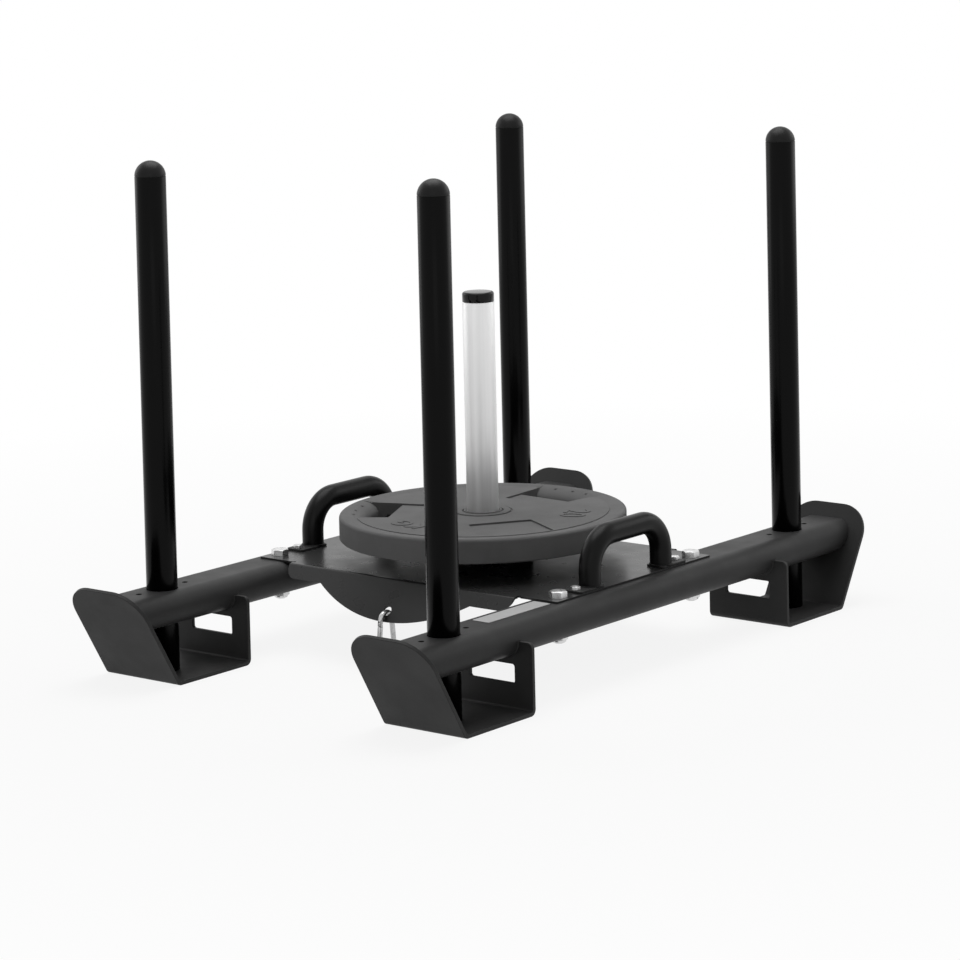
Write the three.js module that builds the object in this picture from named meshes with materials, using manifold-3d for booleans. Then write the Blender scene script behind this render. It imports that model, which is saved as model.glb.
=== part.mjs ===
// Push sled: two skid rails under a sheet deck, a loading pin with one weight plate, four upright
// poles, two grab handles and a towing hook. Millimetres, +Z up. The origin is on the floor under
// the loading pin, the rails run along Y and the towing end faces -Y.

import * as THREE from 'three';
import { mergeVertices } from 'three/addons/utils/BufferGeometryUtils.js';
import Module from 'manifold-3d';

const wasm = await Module();
wasm.setup();

// Clearances and cutting allowance
const fitGap = 0.3;
const slideGap = 0.4;
const weldDistance = 0.0005;
const overrun = 4;

// Rails: flat oval tube
const railWidth = 100;
const railHeight = 50;
const railWall = 3;
const railUnderside = 81;

// Skid shoes: one bent plate under each rail end
const shoePlate = 6;
const shoeWidth = 151;
const shoeBend = 4;
const heelToPole = 112;
const poleToToe = 46;
const toeLean = THREE.MathUtils.degToRad(30.5);
const toeLength = 174;
const toeCorner = 50;
const earCorner = 9;
const earGap = 1;
const windowWidth = 83.6;
const windowHeight = 27.8;
const windowToRail = 9.8;
const windowCorner = 4;

// Deck: sheet with a folded apron at each end
const deckSheet = 3;
const deckPastRail = 18.5;
const deckTabLength = 386;
const deckBend = 2;
const apronToRail = 3.9;
const foldPastTab = 10;
const apronFlare = THREE.MathUtils.degToRad(35.5);
const apronSideDrop = 20;
const apronMidDrop = 57;
const apronCorner = 20;
const tongueShoulder = 76;
const foldRelief = 3;
const towHole = 15;
const towHoleDrop = 42;

// Deck bolts and their nuts
const deckBoltInset = 26;
const deckBoltShank = 16;
const deckBoltHex = 24;
const deckBoltHead = 10;
const deckNutHeight = 14;
const deckBoltTail = 1.5;
const boltHoleGap = 0.5;

// Loading pin with its end cap
const pinDiameter = 50;
const pinWall = 4;
const pinHeight = 402;
const pinCapHeight = 15.5;
const pinCapEdge = 4;
const pinPlug = 22;

// Bearer cross under the weight plate
const bearerWidth = 70;
const bearerHeight = 35;
const bearerWall = 3;
const bearerReach = 72;

// Weight plate and its hub ring
const plateDiameter = 450;
const plateThickness = 37.6;
const plateEdgeDrop = 2.2;
const plateEdgeWidth = 8;
const plateFootEdge = 2;
const rimWidth = 26;
const rimStep = 0.8;
const backRecess = 18;
const backRecessToHub = 21.5;
const backRecessToEdge = 47;
const backRecessDraft = 5;
const hubDiameter = 87;
const hubCollar = 61;
const hubRise = 1;
const hubCollarRise = 0.8;
const panelLength = 100;
const panelToEdge = 29;
const panelHalfWidth = 50;
const panelFlare = 6;
const panelCorner = 5;
const panelDepth = 2;
const panelAngle = -35;
const gripRearAngle = 87;
const gripLeftAngle = 207;
const gripOpening = 46;
const gripToEdge = 39;
const gripShift = 10.5;
const gripCorner = 3;
const gripSlope = 6;

// Upright poles and their domed caps
const poleToDeck = 238;
const poleDiameter = 47.4;
const poleWall = 3;
const poleTop = 784;
const polePlug = 30;
const spareHole = 9;
const spareHoleOffset = 49.5;

// Grab handles on bolted feet
const handleTube = 34;
const handleWall = 2.5;
const handleToPlate = 36.9;
const handleRise = 91.5;
const handleBend = 49;
const footThickness = 3.5;
const footWidth = 34;
const footHeel = 16;
const footToe = 45;
const footCorner = 5;
const footBoltInset = 9;
const footToDeckBolt = 33;
const footBoltShank = 8;
const footBoltHex = 13;
const footBoltHead = 5.3;
const rivetNutDiameter = 12;
const rivetNutLength = 14;

// Bare name plate on the right rail
const badgeWidth = 31.5;
const badgeLength = 144;
const badgeThickness = 0.8;
const badgeCorner = 2;
const badgeShift = 5.6;
const badgeToDeck = 5;

// Towing hook: spring snap of round wire, hung by its narrow bow
const hookWire = 8;
const hookNarrowBow = 13;
const hookWideBow = 17;
const hookBowSpacing = 40;
const hookNoseLength = 5;
const gateGap = 0.4;
const pivotDown = 4;
const pivotRise = 4.4;
const tongueThickness = 2.6;
const gatePin = 2.4;
const gatePinGap = 0.2;

// Round surfaces: sides in a full turn
const fineSides = 60;
const roundSides = 24;
const tubeSides = 20;
const handleSides = 16;
const boltSides = 14;
const wireSides = 10;
const bendSteps = 4;
const sheetSteps = 3;
const ovalSteps = 8;
const hexSides = 6;
const cornerSteps = 3;

const degrees = THREE.MathUtils.degToRad;

// Heights and places that follow from the sizes above
const railTop = railUnderside + railHeight;
const railMid = railUnderside + railHeight / 2;
const deckTop = railTop + deckSheet;
const footTop = deckTop + footThickness;
const plateRest = deckTop + bearerHeight;
const railX = plateDiameter / 2 + handleToPlate + handleTube / 2;
const apronWidth = 2 * railX - railWidth - 2 * apronToRail;
const deckTabY = deckTabLength / 2;
const poleY = deckTabY + poleToDeck;
const deckBoltY = deckTabY - deckBoltInset;
const handleY = deckBoltY - footToDeckBolt - footToe;
const footBoltY = handleY + footToe - footBoltInset;
const toeReach = poleY + poleToToe;
const corners = [[-1, -1], [1, -1], [-1, 1], [1, 1]];
const cornerNames = ['front_left', 'front_right', 'rear_left', 'rear_right'];

// Finishes
const finish = {
  frame: { color: 0x2b2c2e, roughness: 0.45, metalness: 0.3 },
  pole: { color: 0x17171a, roughness: 0.3, metalness: 0.4 },
  chrome: { color: 0xd8dadd, roughness: 0.12, metalness: 1 },
  zinc: { color: 0xc9cacc, roughness: 0.35, metalness: 0.9 },
  plastic: { color: 0x1a1a1b, roughness: 0.55, metalness: 0 },
  plate: { color: 0x6d6d6d, roughness: 0.7, metalness: 0.1 },
  badge: { color: 0xe6e6e4, roughness: 0.5, metalness: 0 },
};

// Points on an arc, both ends included
function arc(x, y, radius, from, to, steps) {
  return Array.from({ length: steps + 1 }, (unused, i) => {
    const angle = from + ((to - from) * i) / steps;
    return new THREE.Vector2(x + radius * Math.cos(angle), y + radius * Math.sin(angle));
  });
}

function circle(radius, sides) {
  return arc(0, 0, radius, 0, 2 * Math.PI, sides).slice(0, sides);
}

// Flat oval outline, wider than high
function oval(width, height, steps) {
  const radius = height / 2;
  const straight = width / 2 - radius;
  return [
    ...arc(straight, 0, radius, -Math.PI / 2, Math.PI / 2, steps),
    ...arc(-straight, 0, radius, Math.PI / 2, 1.5 * Math.PI, steps),
  ];
}

// Outline through corner points, each rounded by its own radius (zero stays sharp)
function rounded(points, steps) {
  return points.flatMap(([x, y, radius], i) => {
    const corner = new THREE.Vector2(x, y);
    if (radius === 0) return [corner];
    const [beforeX, beforeY] = points.at(i - 1);
    const [afterX, afterY] = points[(i + 1) % points.length];
    const back = new THREE.Vector2(beforeX, beforeY).sub(corner).normalize();
    const ahead = new THREE.Vector2(afterX, afterY).sub(corner).normalize();
    const half = Math.acos(THREE.MathUtils.clamp(back.dot(ahead), -1, 1)) / 2;
    const centre = back.clone().add(ahead).normalize().multiplyScalar(radius / Math.sin(half)).add(corner);
    const start = back.clone().multiplyScalar(radius / Math.tan(half)).add(corner).sub(centre);
    const end = ahead.clone().multiplyScalar(radius / Math.tan(half)).add(corner).sub(centre);
    const turn = Math.atan2(start.cross(end), start.dot(end));
    return arc(centre.x, centre.y, radius, start.angle(), start.angle() + turn, steps);
  });
}

function rectangle(width, height, radius, steps) {
  const x = width / 2;
  const y = height / 2;
  return rounded([[-x, -y, radius], [x, -y, radius], [x, y, radius], [-x, y, radius]], steps);
}

// What a round corner takes off a square one: the outline between the corner and its arc
function cornerWaste(x, y, signX, signY, radius) {
  const centreX = x - signX * radius;
  const centreY = y - signY * radius;
  const round = arc(0, 0, radius, 0, Math.PI / 2, bendSteps).map(
    (point) => new THREE.Vector2(centreX + signX * point.x, centreY + signY * point.y),
  );
  const outX = x + signX * overrun;
  const outY = y + signY * overrun;
  return [
    ...round,
    new THREE.Vector2(centreX, outY),
    new THREE.Vector2(outX, outY),
    new THREE.Vector2(outX, centreY),
  ];
}

// Strip of sheet bent at each inner corner; the bends turn left and the sheet lies on the left
function bentStrip(points, thickness, insideRadius) {
  const outsideRadius = insideRadius + thickness;
  const runs = points.slice(1).map((point, i) => point.clone().sub(points[i]).normalize());
  const lefts = runs.map((run) => new THREE.Vector2(-run.y, run.x));
  const bends = points.slice(1, -1).map((corner, i) => {
    const turn = Math.atan2(runs[i].cross(runs[i + 1]), runs[i].dot(runs[i + 1]));
    const centre = corner.clone().addScaledVector(runs[i], -outsideRadius * Math.tan(turn / 2));
    centre.addScaledVector(lefts[i], outsideRadius);
    const from = lefts[i].angle() + Math.PI;
    return { centre, from, to: from + turn };
  });
  const outside = bends.flatMap((bend) => (
    arc(bend.centre.x, bend.centre.y, outsideRadius, bend.from, bend.to, sheetSteps)));
  const inside = bends.flatMap((bend) => (
    arc(bend.centre.x, bend.centre.y, insideRadius, bend.from, bend.to, sheetSteps)));
  const first = points[0];
  const last = points.at(-1);
  return [
    first,
    ...outside,
    last,
    last.clone().addScaledVector(lefts.at(-1), thickness),
    ...inside.reverse(),
    first.clone().addScaledVector(lefts[0], thickness),
  ];
}

// Extrusion centred on the drawing plane
function prism(points, length) {
  const geometry = new THREE.ExtrudeGeometry(new THREE.Shape(points), { depth: length, bevelEnabled: false });
  return geometry.translate(0, 0, -length / 2);
}

// Extrusion standing on the drawing plane
function slab(points, height, base) {
  return prism(points, height).translate(0, 0, base + height / 2);
}

// Turns drawings made in the YZ plane and in the XZ plane into place
const fromYZ = new THREE.Matrix4().makeBasis(
  new THREE.Vector3(0, 1, 0),
  new THREE.Vector3(0, 0, 1),
  new THREE.Vector3(1, 0, 0),
);
const fromXZ = new THREE.Matrix4().makeBasis(
  new THREE.Vector3(1, 0, 0),
  new THREE.Vector3(0, 0, 1),
  new THREE.Vector3(0, -1, 0),
);

const acrossX = (points, length) => prism(points, length).applyMatrix4(fromYZ);
const acrossY = (points, length) => prism(points, length).applyMatrix4(fromXZ);

// Solid of revolution about Z from [radius, height] pairs
function turned(profile, sides) {
  const points = profile.map(([radius, height]) => new THREE.Vector2(radius, height));
  return new THREE.LatheGeometry(points, sides).rotateX(Math.PI / 2);
}

function ring(inner, outer, height, base, sides) {
  const top = base + height;
  return turned([[inner, base], [outer, base], [outer, top], [inner, top], [inner, base]], sides);
}

function rod(radius, height, base, sides) {
  return turned([[0, base], [radius, base], [radius, base + height], [0, base + height]], sides);
}

// Path that keeps its own stations, so straight runs stay one step long
class StationPath extends THREE.Curve {
  constructor(stations) {
    super();
    this.stations = stations;
  }

  at(share) {
    return this.stations[Math.round(share * (this.stations.length - 1))];
  }

  getPointAt(share) {
    return this.at(share).point.clone();
  }

  getTangentAt(share) {
    return this.at(share).tangent.clone();
  }
}

function swept(section, stations) {
  return new THREE.ExtrudeGeometry(new THREE.Shape(section), {
    steps: stations.length - 1,
    extrudePath: new StationPath(stations),
    bevelEnabled: false,
  });
}

// Closed geometry as a solid that can be cut and joined
function solidOf(geometry) {
  const bare = geometry.clone();
  bare.deleteAttribute('normal');
  bare.deleteAttribute('uv');
  const merged = mergeVertices(bare, weldDistance);
  const position = merged.getAttribute('position').array;
  const index = merged.getIndex().array;
  const triangles = [];
  let volume = 0;
  const a = new THREE.Vector3();
  const b = new THREE.Vector3();
  const c = new THREE.Vector3();
  for (let i = 0; i < index.length; i += 3) {
    const [p, q, r] = index.slice(i, i + 3);
    if (p !== q && q !== r && r !== p) {
      triangles.push([p, q, r]);
      a.fromArray(position, 3 * p);
      b.fromArray(position, 3 * q);
      c.fromArray(position, 3 * r);
      volume += a.dot(b.cross(c));
    }
  }
  const facing = volume < 0 ? triangles.map(([p, q, r]) => [p, r, q]) : triangles;
  return new wasm.Manifold(new wasm.Mesh({
    numProp: 3,
    vertProperties: Float32Array.from(position),
    triVerts: Uint32Array.from(facing.flat()),
  }));
}

const cut = (solid, ...tools) => tools.reduce((rest, tool) => rest.subtract(solidOf(tool)), solid);
const join = (solid, ...others) => others.reduce((whole, other) => whole.add(solidOf(other)), solid);

function geometryOf(solid) {
  const { vertProperties, triVerts } = solid.getMesh();
  const geometry = new THREE.BufferGeometry();
  geometry.setAttribute('position', new THREE.BufferAttribute(vertProperties, 3));
  geometry.setIndex(new THREE.BufferAttribute(triVerts, 1));
  geometry.computeVertexNormals();
  return geometry;
}

const sled = new THREE.Group();

// Adds one named piece to the sled
function place(name, shape, look, x, y, z, turn) {
  const geometry = shape.isBufferGeometry ? geometryOf(solidOf(shape)) : geometryOf(shape);
  const mesh = new THREE.Mesh(geometry, new THREE.MeshStandardMaterial(look));
  mesh.name = name;
  mesh.position.set(x, y, z);
  mesh.rotation.z = turn;
  sled.add(mesh);
}

// Hexagon with its outer edge turned off at one end
function hexagon(acrossFlats, height, base) {
  const corner = acrossFlats / 2 / Math.cos(Math.PI / hexSides);
  const edge = corner - acrossFlats / 2;
  const top = base + height;
  const blank = solidOf(slab(circle(corner, hexSides), height, base));
  const round = turned([
    [0, base],
    [corner + overrun, base],
    [corner + overrun, top - (edge + overrun) / 2],
    [corner - edge, top],
    [0, top],
  ], roundSides);
  return blank.intersect(solidOf(round));
}

// How far from the pin the inner face of the toe plate is at a height
const toeInnerAt = (height) => (
  toeReach + height * Math.tan(toeLean) - (shoePlate + fitGap) / Math.cos(toeLean));

// Rails, cut to the lean of the toe plates
function makeRail() {
  const low = railUnderside - overrun;
  const high = railTop + overrun;
  const length = 2 * toeInnerAt(high);
  const outside = oval(railWidth, railHeight, ovalSteps);
  const inside = oval(railWidth - 2 * railWall, railHeight - 2 * railWall, ovalSteps);
  const side = [
    new THREE.Vector2(-toeInnerAt(low), low),
    new THREE.Vector2(toeInnerAt(low), low),
    new THREE.Vector2(toeInnerAt(high), high),
    new THREE.Vector2(-toeInnerAt(high), high),
  ];
  const tube = cut(
    solidOf(acrossY(outside, length).translate(0, 0, railMid)),
    acrossY(inside, length + overrun).translate(0, 0, railMid),
  ).intersect(solidOf(acrossX(side, railWidth + overrun)));
  const through = railHeight + 2 * overrun;
  const topOnly = railWall + 2 * overrun;
  const topBase = railTop - railWall - overrun;
  const holes = [-1, 1].flatMap((end) => [
    rod(poleDiameter / 2 + slideGap, through, low, roundSides).translate(0, end * poleY, 0),
    rod(deckBoltShank / 2 + boltHoleGap, through, low, boltSides).translate(0, end * deckBoltY, 0),
    rod(footBoltShank / 2 + boltHoleGap, topOnly, topBase, wireSides).translate(0, end * footBoltY, 0),
    ...[-1, 1].map((way) => (
      rod(spareHole / 2, topOnly, topBase, wireSides)
        .translate(0, end * (poleY + way * spareHoleOffset), 0))),
  ]);
  return cut(tube, ...holes);
}
const rail = makeRail();
place('rail_left', rail, finish.frame, -railX, 0, 0, 0);
place('rail_right', rail, finish.frame, railX, 0, 0, 0);

// Shoes, drawn for the rear end: upright heel, flat sole, leaning toe
function makeShoe() {
  const heelReach = poleY - heelToPole;
  const heelTop = new THREE.Vector2(heelReach, railMid);
  const toeTop = new THREE.Vector2(
    toeReach + toeLength * Math.sin(toeLean),
    toeLength * Math.cos(toeLean),
  );
  const corner = [new THREE.Vector2(heelReach, 0), new THREE.Vector2(toeReach, 0)];
  const side = bentStrip([heelTop, ...corner, toeTop], shoePlate, shoeBend);
  const strip = solidOf(acrossX(side, shoeWidth));

  const heelY = heelReach + shoePlate / 2;
  const heelCut = shoePlate + 2 * overrun;
  const windowZ = railUnderside - windowToRail - windowHeight / 2;
  const windowHole = rectangle(windowWidth, windowHeight, windowCorner, cornerSteps);
  const saddle = oval(railWidth + 2 * earGap, railHeight + 2 * earGap, ovalSteps);
  const ears = [-1, 1].map((way) => cornerWaste(way * shoeWidth / 2, railMid, way, 1, earCorner));

  const alongToe = new THREE.Matrix4().makeBasis(
    new THREE.Vector3(1, 0, 0),
    new THREE.Vector3(0, Math.sin(toeLean), Math.cos(toeLean)),
    new THREE.Vector3(0, -Math.cos(toeLean), Math.sin(toeLean)),
  ).setPosition(0, toeReach, 0);
  const toes = [-1, 1].map((way) => (
    prism(cornerWaste(way * shoeWidth / 2, toeLength, way, 1, toeCorner), 2 * shoePlate + 2 * overrun)
      .applyMatrix4(alongToe)));

  return cut(
    strip,
    acrossY(windowHole, heelCut).translate(0, heelY, windowZ),
    acrossY(saddle, heelCut).translate(0, heelY, railMid),
    ...ears.map((waste) => acrossY(waste, heelCut).translate(0, heelY, 0)),
    ...toes,
  );
}
const shoe = makeShoe();
corners.forEach(([sideX, end], i) => {
  place(`shoe_${cornerNames[i]}`, shoe, finish.frame, sideX * railX, 0, 0, end > 0 ? 0 : Math.PI);
});

// Deck: flat sheet over the rails, aprons folded down and out between them
const apronFoldY = deckTabY + foldPastTab;
const apronEdgeY = apronFoldY + apronMidDrop * Math.tan(apronFlare);

function makeDeck() {
  const edgeZ = deckTop - apronMidDrop;
  const side = bentStrip([
    new THREE.Vector2(apronEdgeY, edgeZ),
    new THREE.Vector2(apronFoldY, deckTop),
    new THREE.Vector2(-apronFoldY, deckTop),
    new THREE.Vector2(-apronEdgeY, edgeZ),
  ], deckSheet, deckBend);
  const strip = solidOf(acrossX(side, apronWidth));

  const sideZ = deckTop - apronSideDrop;
  const sag = apronMidDrop - apronSideDrop;
  const tongueHalf = apronWidth / 2 - tongueShoulder;
  const arcRadius = (tongueHalf ** 2 + sag ** 2) / (2 * sag);
  const half = Math.asin(tongueHalf / arcRadius);
  const outX = apronWidth / 2 + overrun;
  const below = [
    new THREE.Vector2(-outX, edgeZ - overrun),
    new THREE.Vector2(outX, edgeZ - overrun),
    new THREE.Vector2(outX, sideZ),
    ...arc(0, edgeZ + arcRadius, arcRadius, -Math.PI / 2 + half, -Math.PI / 2 - half, 4 * bendSteps),
    new THREE.Vector2(-outX, sideZ),
  ];
  const depth = 2 * apronEdgeY + 2 * overrun;
  const ends = [-1, 1].flatMap((end) => [-1, 1].map((way) => {
    const waste = cornerWaste(way * apronWidth / 2, sideZ, way, -1, apronCorner);
    const reach = apronEdgeY - deckTabY - overrun;
    return acrossY(waste, reach).translate(0, end * (apronEdgeY - reach / 2 + overrun / 2), 0);
  }));
  const apron = cut(strip, acrossY(below, depth), ...ends);

  const deckWidth = 2 * railX + 2 * deckPastRail;
  const sheet = slab(rectangle(deckWidth, deckTabLength, 0, 1), deckSheet, railTop);
  const tall = deckSheet + 2 * overrun;
  const base = railTop - overrun;
  const holes = corners.flatMap(([sideX, end]) => [
    rod(deckBoltShank / 2 + boltHoleGap, tall, base, boltSides)
      .translate(sideX * railX, end * deckBoltY, 0),
    rod(footBoltShank / 2 + boltHoleGap, tall, base, wireSides)
      .translate(sideX * railX, end * footBoltY, 0),
    rod(foldRelief, tall, base, wireSides)
      .translate(sideX * apronWidth / 2, end * deckTabY, 0),
  ]);
  const towAxis = rod(towHole / 2, 2 * deckSheet + 2 * overrun, -deckSheet - overrun, roundSides)
    .rotateX(Math.PI / 2 - apronFlare)
    .translate(0, -apronFoldY - towHoleDrop * Math.tan(apronFlare), deckTop - towHoleDrop);
  return cut(join(apron, sheet), ...holes, towAxis);
}
place('deck', makeDeck(), finish.frame, 0, 0, 0, 0);

// Deck bolts with their nuts under the rails
const deckBolt = join(
  hexagon(deckBoltHex, deckBoltHead, deckTop),
  rod(deckBoltShank / 2, deckTop - railUnderside + deckNutHeight + deckBoltTail,
    railUnderside - deckNutHeight - deckBoltTail, boltSides),
);
const deckNut = cut(
  hexagon(deckBoltHex, deckNutHeight, 0),
  rod(deckBoltShank / 2 + fitGap, deckNutHeight + 2 * overrun, -overrun, boltSides),
).rotate([180, 0, 0]).translate([0, 0, railUnderside]);
corners.forEach(([sideX, end], i) => {
  place(`deck_bolt_${cornerNames[i]}`, deckBolt, finish.zinc, sideX * railX, end * deckBoltY, 0, 0);
  place(`deck_nut_${cornerNames[i]}`, deckNut, finish.zinc, sideX * railX, end * deckBoltY, 0, 0);
});

// Bearer cross: one box tube through, two half tubes butted against its sides
function boxTube(length) {
  const outside = rectangle(bearerWidth, bearerHeight, 0, 1);
  const inside = rectangle(bearerWidth - 2 * bearerWall, bearerHeight - 2 * bearerWall, 0, 1);
  const height = deckTop + bearerHeight / 2;
  return cut(
    solidOf(acrossY(outside, length).translate(0, 0, height)),
    acrossY(inside, length + overrun).translate(0, 0, height),
  );
}
const pinHole = rod(pinDiameter / 2 + fitGap, bearerHeight + 2 * overrun, deckTop - overrun, fineSides / 2);
const mainBearer = cut(boxTube(2 * bearerReach), pinHole);
const halfStart = bearerWidth / 2 + fitGap;
const halfBearer = boxTube(bearerReach - halfStart).translate([0, (bearerReach + halfStart) / 2, 0]);
place('bearer_main', mainBearer, finish.frame, 0, 0, 0, 0);
place('bearer_half_left', halfBearer, finish.frame, 0, 0, 0, Math.PI / 2);
place('bearer_half_right', halfBearer, finish.frame, 0, 0, 0, -Math.PI / 2);

// Loading pin: chromed tube standing on the deck, plastic cap plugged into its top
const pinTop = deckTop + pinHeight;
const pinBore = pinDiameter / 2 - pinWall;
place('loading_pin', ring(pinBore, pinDiameter / 2, pinHeight, deckTop, fineSides / 2),
  finish.chrome, 0, 0, 0, 0);
const capEdge = arc(pinDiameter / 2 - pinCapEdge, pinTop + pinCapHeight - pinCapEdge, pinCapEdge,
  0, Math.PI / 2, bendSteps).map((point) => [point.x, point.y]);
place('pin_cap', turned([
  [0, pinTop - pinPlug],
  [pinBore - fitGap, pinTop - pinPlug],
  [pinBore - fitGap, pinTop],
  [pinDiameter / 2, pinTop],
  ...capEdge,
  [0, pinTop + pinCapHeight],
], fineSides / 2), finish.plastic, 0, 0, 0, 0);

// Weight plate: rim, three shallow panels, two of them with a hand grip right through, steel hub
// A panel's outline along +X; its sides flare outwards and its middle lies `shift` to the left
function sector(inset, outerRadius, halfWidth, shift, radius) {
  const flare = degrees(panelFlare);
  const [low, high] = [-1, 1].map((side) => {
    const start = new THREE.Vector2(inset, shift + side * halfWidth);
    const along = new THREE.Vector2(Math.cos(flare), side * Math.sin(flare));
    const nearest = start.dot(along);
    const reach = Math.sqrt(nearest ** 2 - start.lengthSq() + outerRadius ** 2) - nearest;
    return { start, angle: start.clone().addScaledVector(along, reach).angle() };
  });
  const outer = arc(0, 0, outerRadius, low.angle - 2 * Math.PI, high.angle, bendSteps);
  return rounded([
    [low.start.x, low.start.y, radius],
    ...outer.map((point, i) => [point.x, point.y, i % bendSteps ? 0 : radius]),
    [high.start.x, high.start.y, radius],
  ], bendSteps);
}

function makePlate() {
  const radius = plateDiameter / 2;
  const top = plateThickness;
  const face = top - rimStep;
  const bore = hubDiameter / 2 + fitGap / 2;
  const recessInner = hubDiameter / 2 + backRecessToHub;
  const recessOuter = radius - backRecessToEdge;
  const rimInner = radius - rimWidth;
  const gripOuter = radius - gripToEdge;
  const gripInner = gripOuter - gripOpening;
  const panelOuter = radius - panelToEdge;
  const panelInner = panelOuter - panelLength;
  const gripHalf = panelHalfWidth + (gripInner - panelInner) * Math.tan(degrees(panelFlare));
  const disc = solidOf(turned([
    [bore, 0],
    [recessInner, 0],
    [recessInner + backRecessDraft, backRecess],
    [recessOuter - backRecessDraft, backRecess],
    [recessOuter, 0],
    [radius - plateFootEdge, 0],
    [radius, plateFootEdge],
    [radius, top - plateEdgeDrop],
    [radius - plateEdgeWidth, top],
    [rimInner, top],
    [rimInner - rimStep, face],
    [bore, face],
    [bore, 0],
  ], fineSides));
  const beyondSlope = turned([
    [gripOuter, -overrun],
    [gripOuter, top - gripSlope],
    [gripOuter + gripSlope + overrun, top + overrun],
    [radius, top + overrun],
    [radius, -overrun],
    [gripOuter, -overrun],
  ], fineSides);
  const places = [
    { turn: panelAngle, shift: 0, open: false },
    { turn: gripRearAngle, shift: -gripShift, open: true },
    { turn: gripLeftAngle, shift: gripShift, open: true },
  ];
  const tools = places.flatMap(({ turn, shift, open }) => {
    const panel = slab(sector(panelInner, panelOuter, panelHalfWidth, shift, panelCorner),
      panelDepth + overrun, face - panelDepth);
    const opening = slab(sector(gripInner, panelOuter, gripHalf, shift, gripCorner),
      top + 2 * overrun, -overrun);
    const grip = geometryOf(cut(solidOf(opening), beyondSlope));
    return (open ? [panel, grip] : [panel]).map((tool) => tool.rotateZ(degrees(turn)));
  });
  return cut(disc, ...tools);
}
place('weight_plate', makePlate(), finish.plate, 0, 0, plateRest, 0);

const hubTop = plateThickness - rimStep + hubRise;
place('plate_hub', turned([
  [pinDiameter / 2 + slideGap, 0],
  [hubDiameter / 2, 0],
  [hubDiameter / 2, hubTop],
  [hubCollar / 2, hubTop],
  [hubCollar / 2 - hubCollarRise, hubTop + hubCollarRise],
  [pinDiameter / 2 + slideGap + hubCollarRise, hubTop + hubCollarRise],
  [pinDiameter / 2 + slideGap, hubTop],
  [pinDiameter / 2 + slideGap, 0],
], fineSides / 2), finish.plate, 0, 0, plateRest, 0);

// Upright poles, standing on the soles through both walls of the rails
const domeRadius = poleDiameter / 2;
const tubeTop = poleTop - domeRadius;
const pole = ring(domeRadius - poleWall, domeRadius, tubeTop - shoePlate, shoePlate, tubeSides);
const poleCap = turned([
  [0, tubeTop - polePlug],
  [domeRadius - poleWall - fitGap, tubeTop - polePlug],
  [domeRadius - poleWall - fitGap, tubeTop],
  ...arc(0, tubeTop, domeRadius, 0, Math.PI / 2, bendSteps)
    .slice(0, -1).map((point) => [point.x, point.y]),
  [0, poleTop],
], tubeSides);
corners.forEach(([sideX, end], i) => {
  place(`pole_${cornerNames[i]}`, pole, finish.pole, sideX * railX, end * poleY, 0, 0);
  place(`pole_cap_${cornerNames[i]}`, poleCap, finish.plastic, sideX * railX, end * poleY, 0, 0);
});

// Stations for a path in the YZ plane, each with its own direction
function station(y, z, heading) {
  return {
    point: new THREE.Vector3(0, y, z),
    tangent: new THREE.Vector3(0, Math.cos(heading), Math.sin(heading)),
  };
}

function bendStations(y, z, radius, from, to, steps) {
  const way = Math.sign(to - from) * Math.PI / 2;
  return Array.from({ length: steps + 1 }, (unused, i) => {
    const angle = from + ((to - from) * i) / steps;
    return station(y + radius * Math.cos(angle), z + radius * Math.sin(angle), angle + way);
  });
}

// Grab handles: one bent tube each, standing on two bolted feet
function handleStations(start) {
  const shoulder = deckTop + handleRise - handleTube / 2 - handleBend;
  const bendY = handleY - handleBend;
  return [
    station(-handleY, start, Math.PI / 2),
    ...bendStations(-bendY, shoulder, handleBend, Math.PI, Math.PI / 2, bendSteps),
    ...bendStations(bendY, shoulder, handleBend, Math.PI / 2, 0, bendSteps),
    station(handleY, start, -Math.PI / 2),
  ];
}
const handle = cut(
  solidOf(swept(circle(handleTube / 2, handleSides), handleStations(footTop))),
  swept(circle(handleTube / 2 - handleWall, handleSides), handleStations(footTop - overrun)),
);
place('handle_left', handle, finish.frame, -railX, 0, 0, 0);
place('handle_right', handle, finish.frame, railX, 0, 0, 0);

// Feet, their bolts and the rivet nuts in the rails; drawn for the rear end
const footHole = rod(footBoltShank / 2 + fitGap, footThickness + 2 * overrun, deckTop - overrun, wireSides);
const foot = cut(
  solidOf(slab(rectangle(footWidth, footHeel + footToe, footCorner, cornerSteps), footThickness, deckTop)
    .translate(0, (footToe - footHeel) / 2, 0)),
  footHole.translate(0, footToe - footBoltInset, 0),
);
const insertTop = railTop - railWall;
const footBolt = join(
  hexagon(footBoltHex, footBoltHead, footTop),
  rod(footBoltShank / 2, footTop - insertTop + rivetNutLength, insertTop - rivetNutLength, wireSides),
);
const rivetNut = ring(footBoltShank / 2 + fitGap, rivetNutDiameter / 2, rivetNutLength,
  insertTop - rivetNutLength, wireSides);
corners.forEach(([sideX, end], i) => {
  const x = sideX * railX;
  place(`handle_foot_${cornerNames[i]}`, foot, finish.frame, x, end * handleY, 0, end > 0 ? 0 : Math.PI);
  place(`handle_bolt_${cornerNames[i]}`, footBolt, finish.zinc, x, end * footBoltY, 0, 0);
  place(`rivet_nut_${cornerNames[i]}`, rivetNut, finish.zinc, x, end * footBoltY, 0, 0);
});

// Bare name plate
const badgeY = deckTabY + badgeToDeck + badgeLength / 2;
const badge = rectangle(badgeWidth, badgeLength, badgeCorner, cornerSteps);
place('badge_plate', slab(badge, badgeThickness, railTop), finish.badge, railX - badgeShift, -badgeY, 0, 0);

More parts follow.
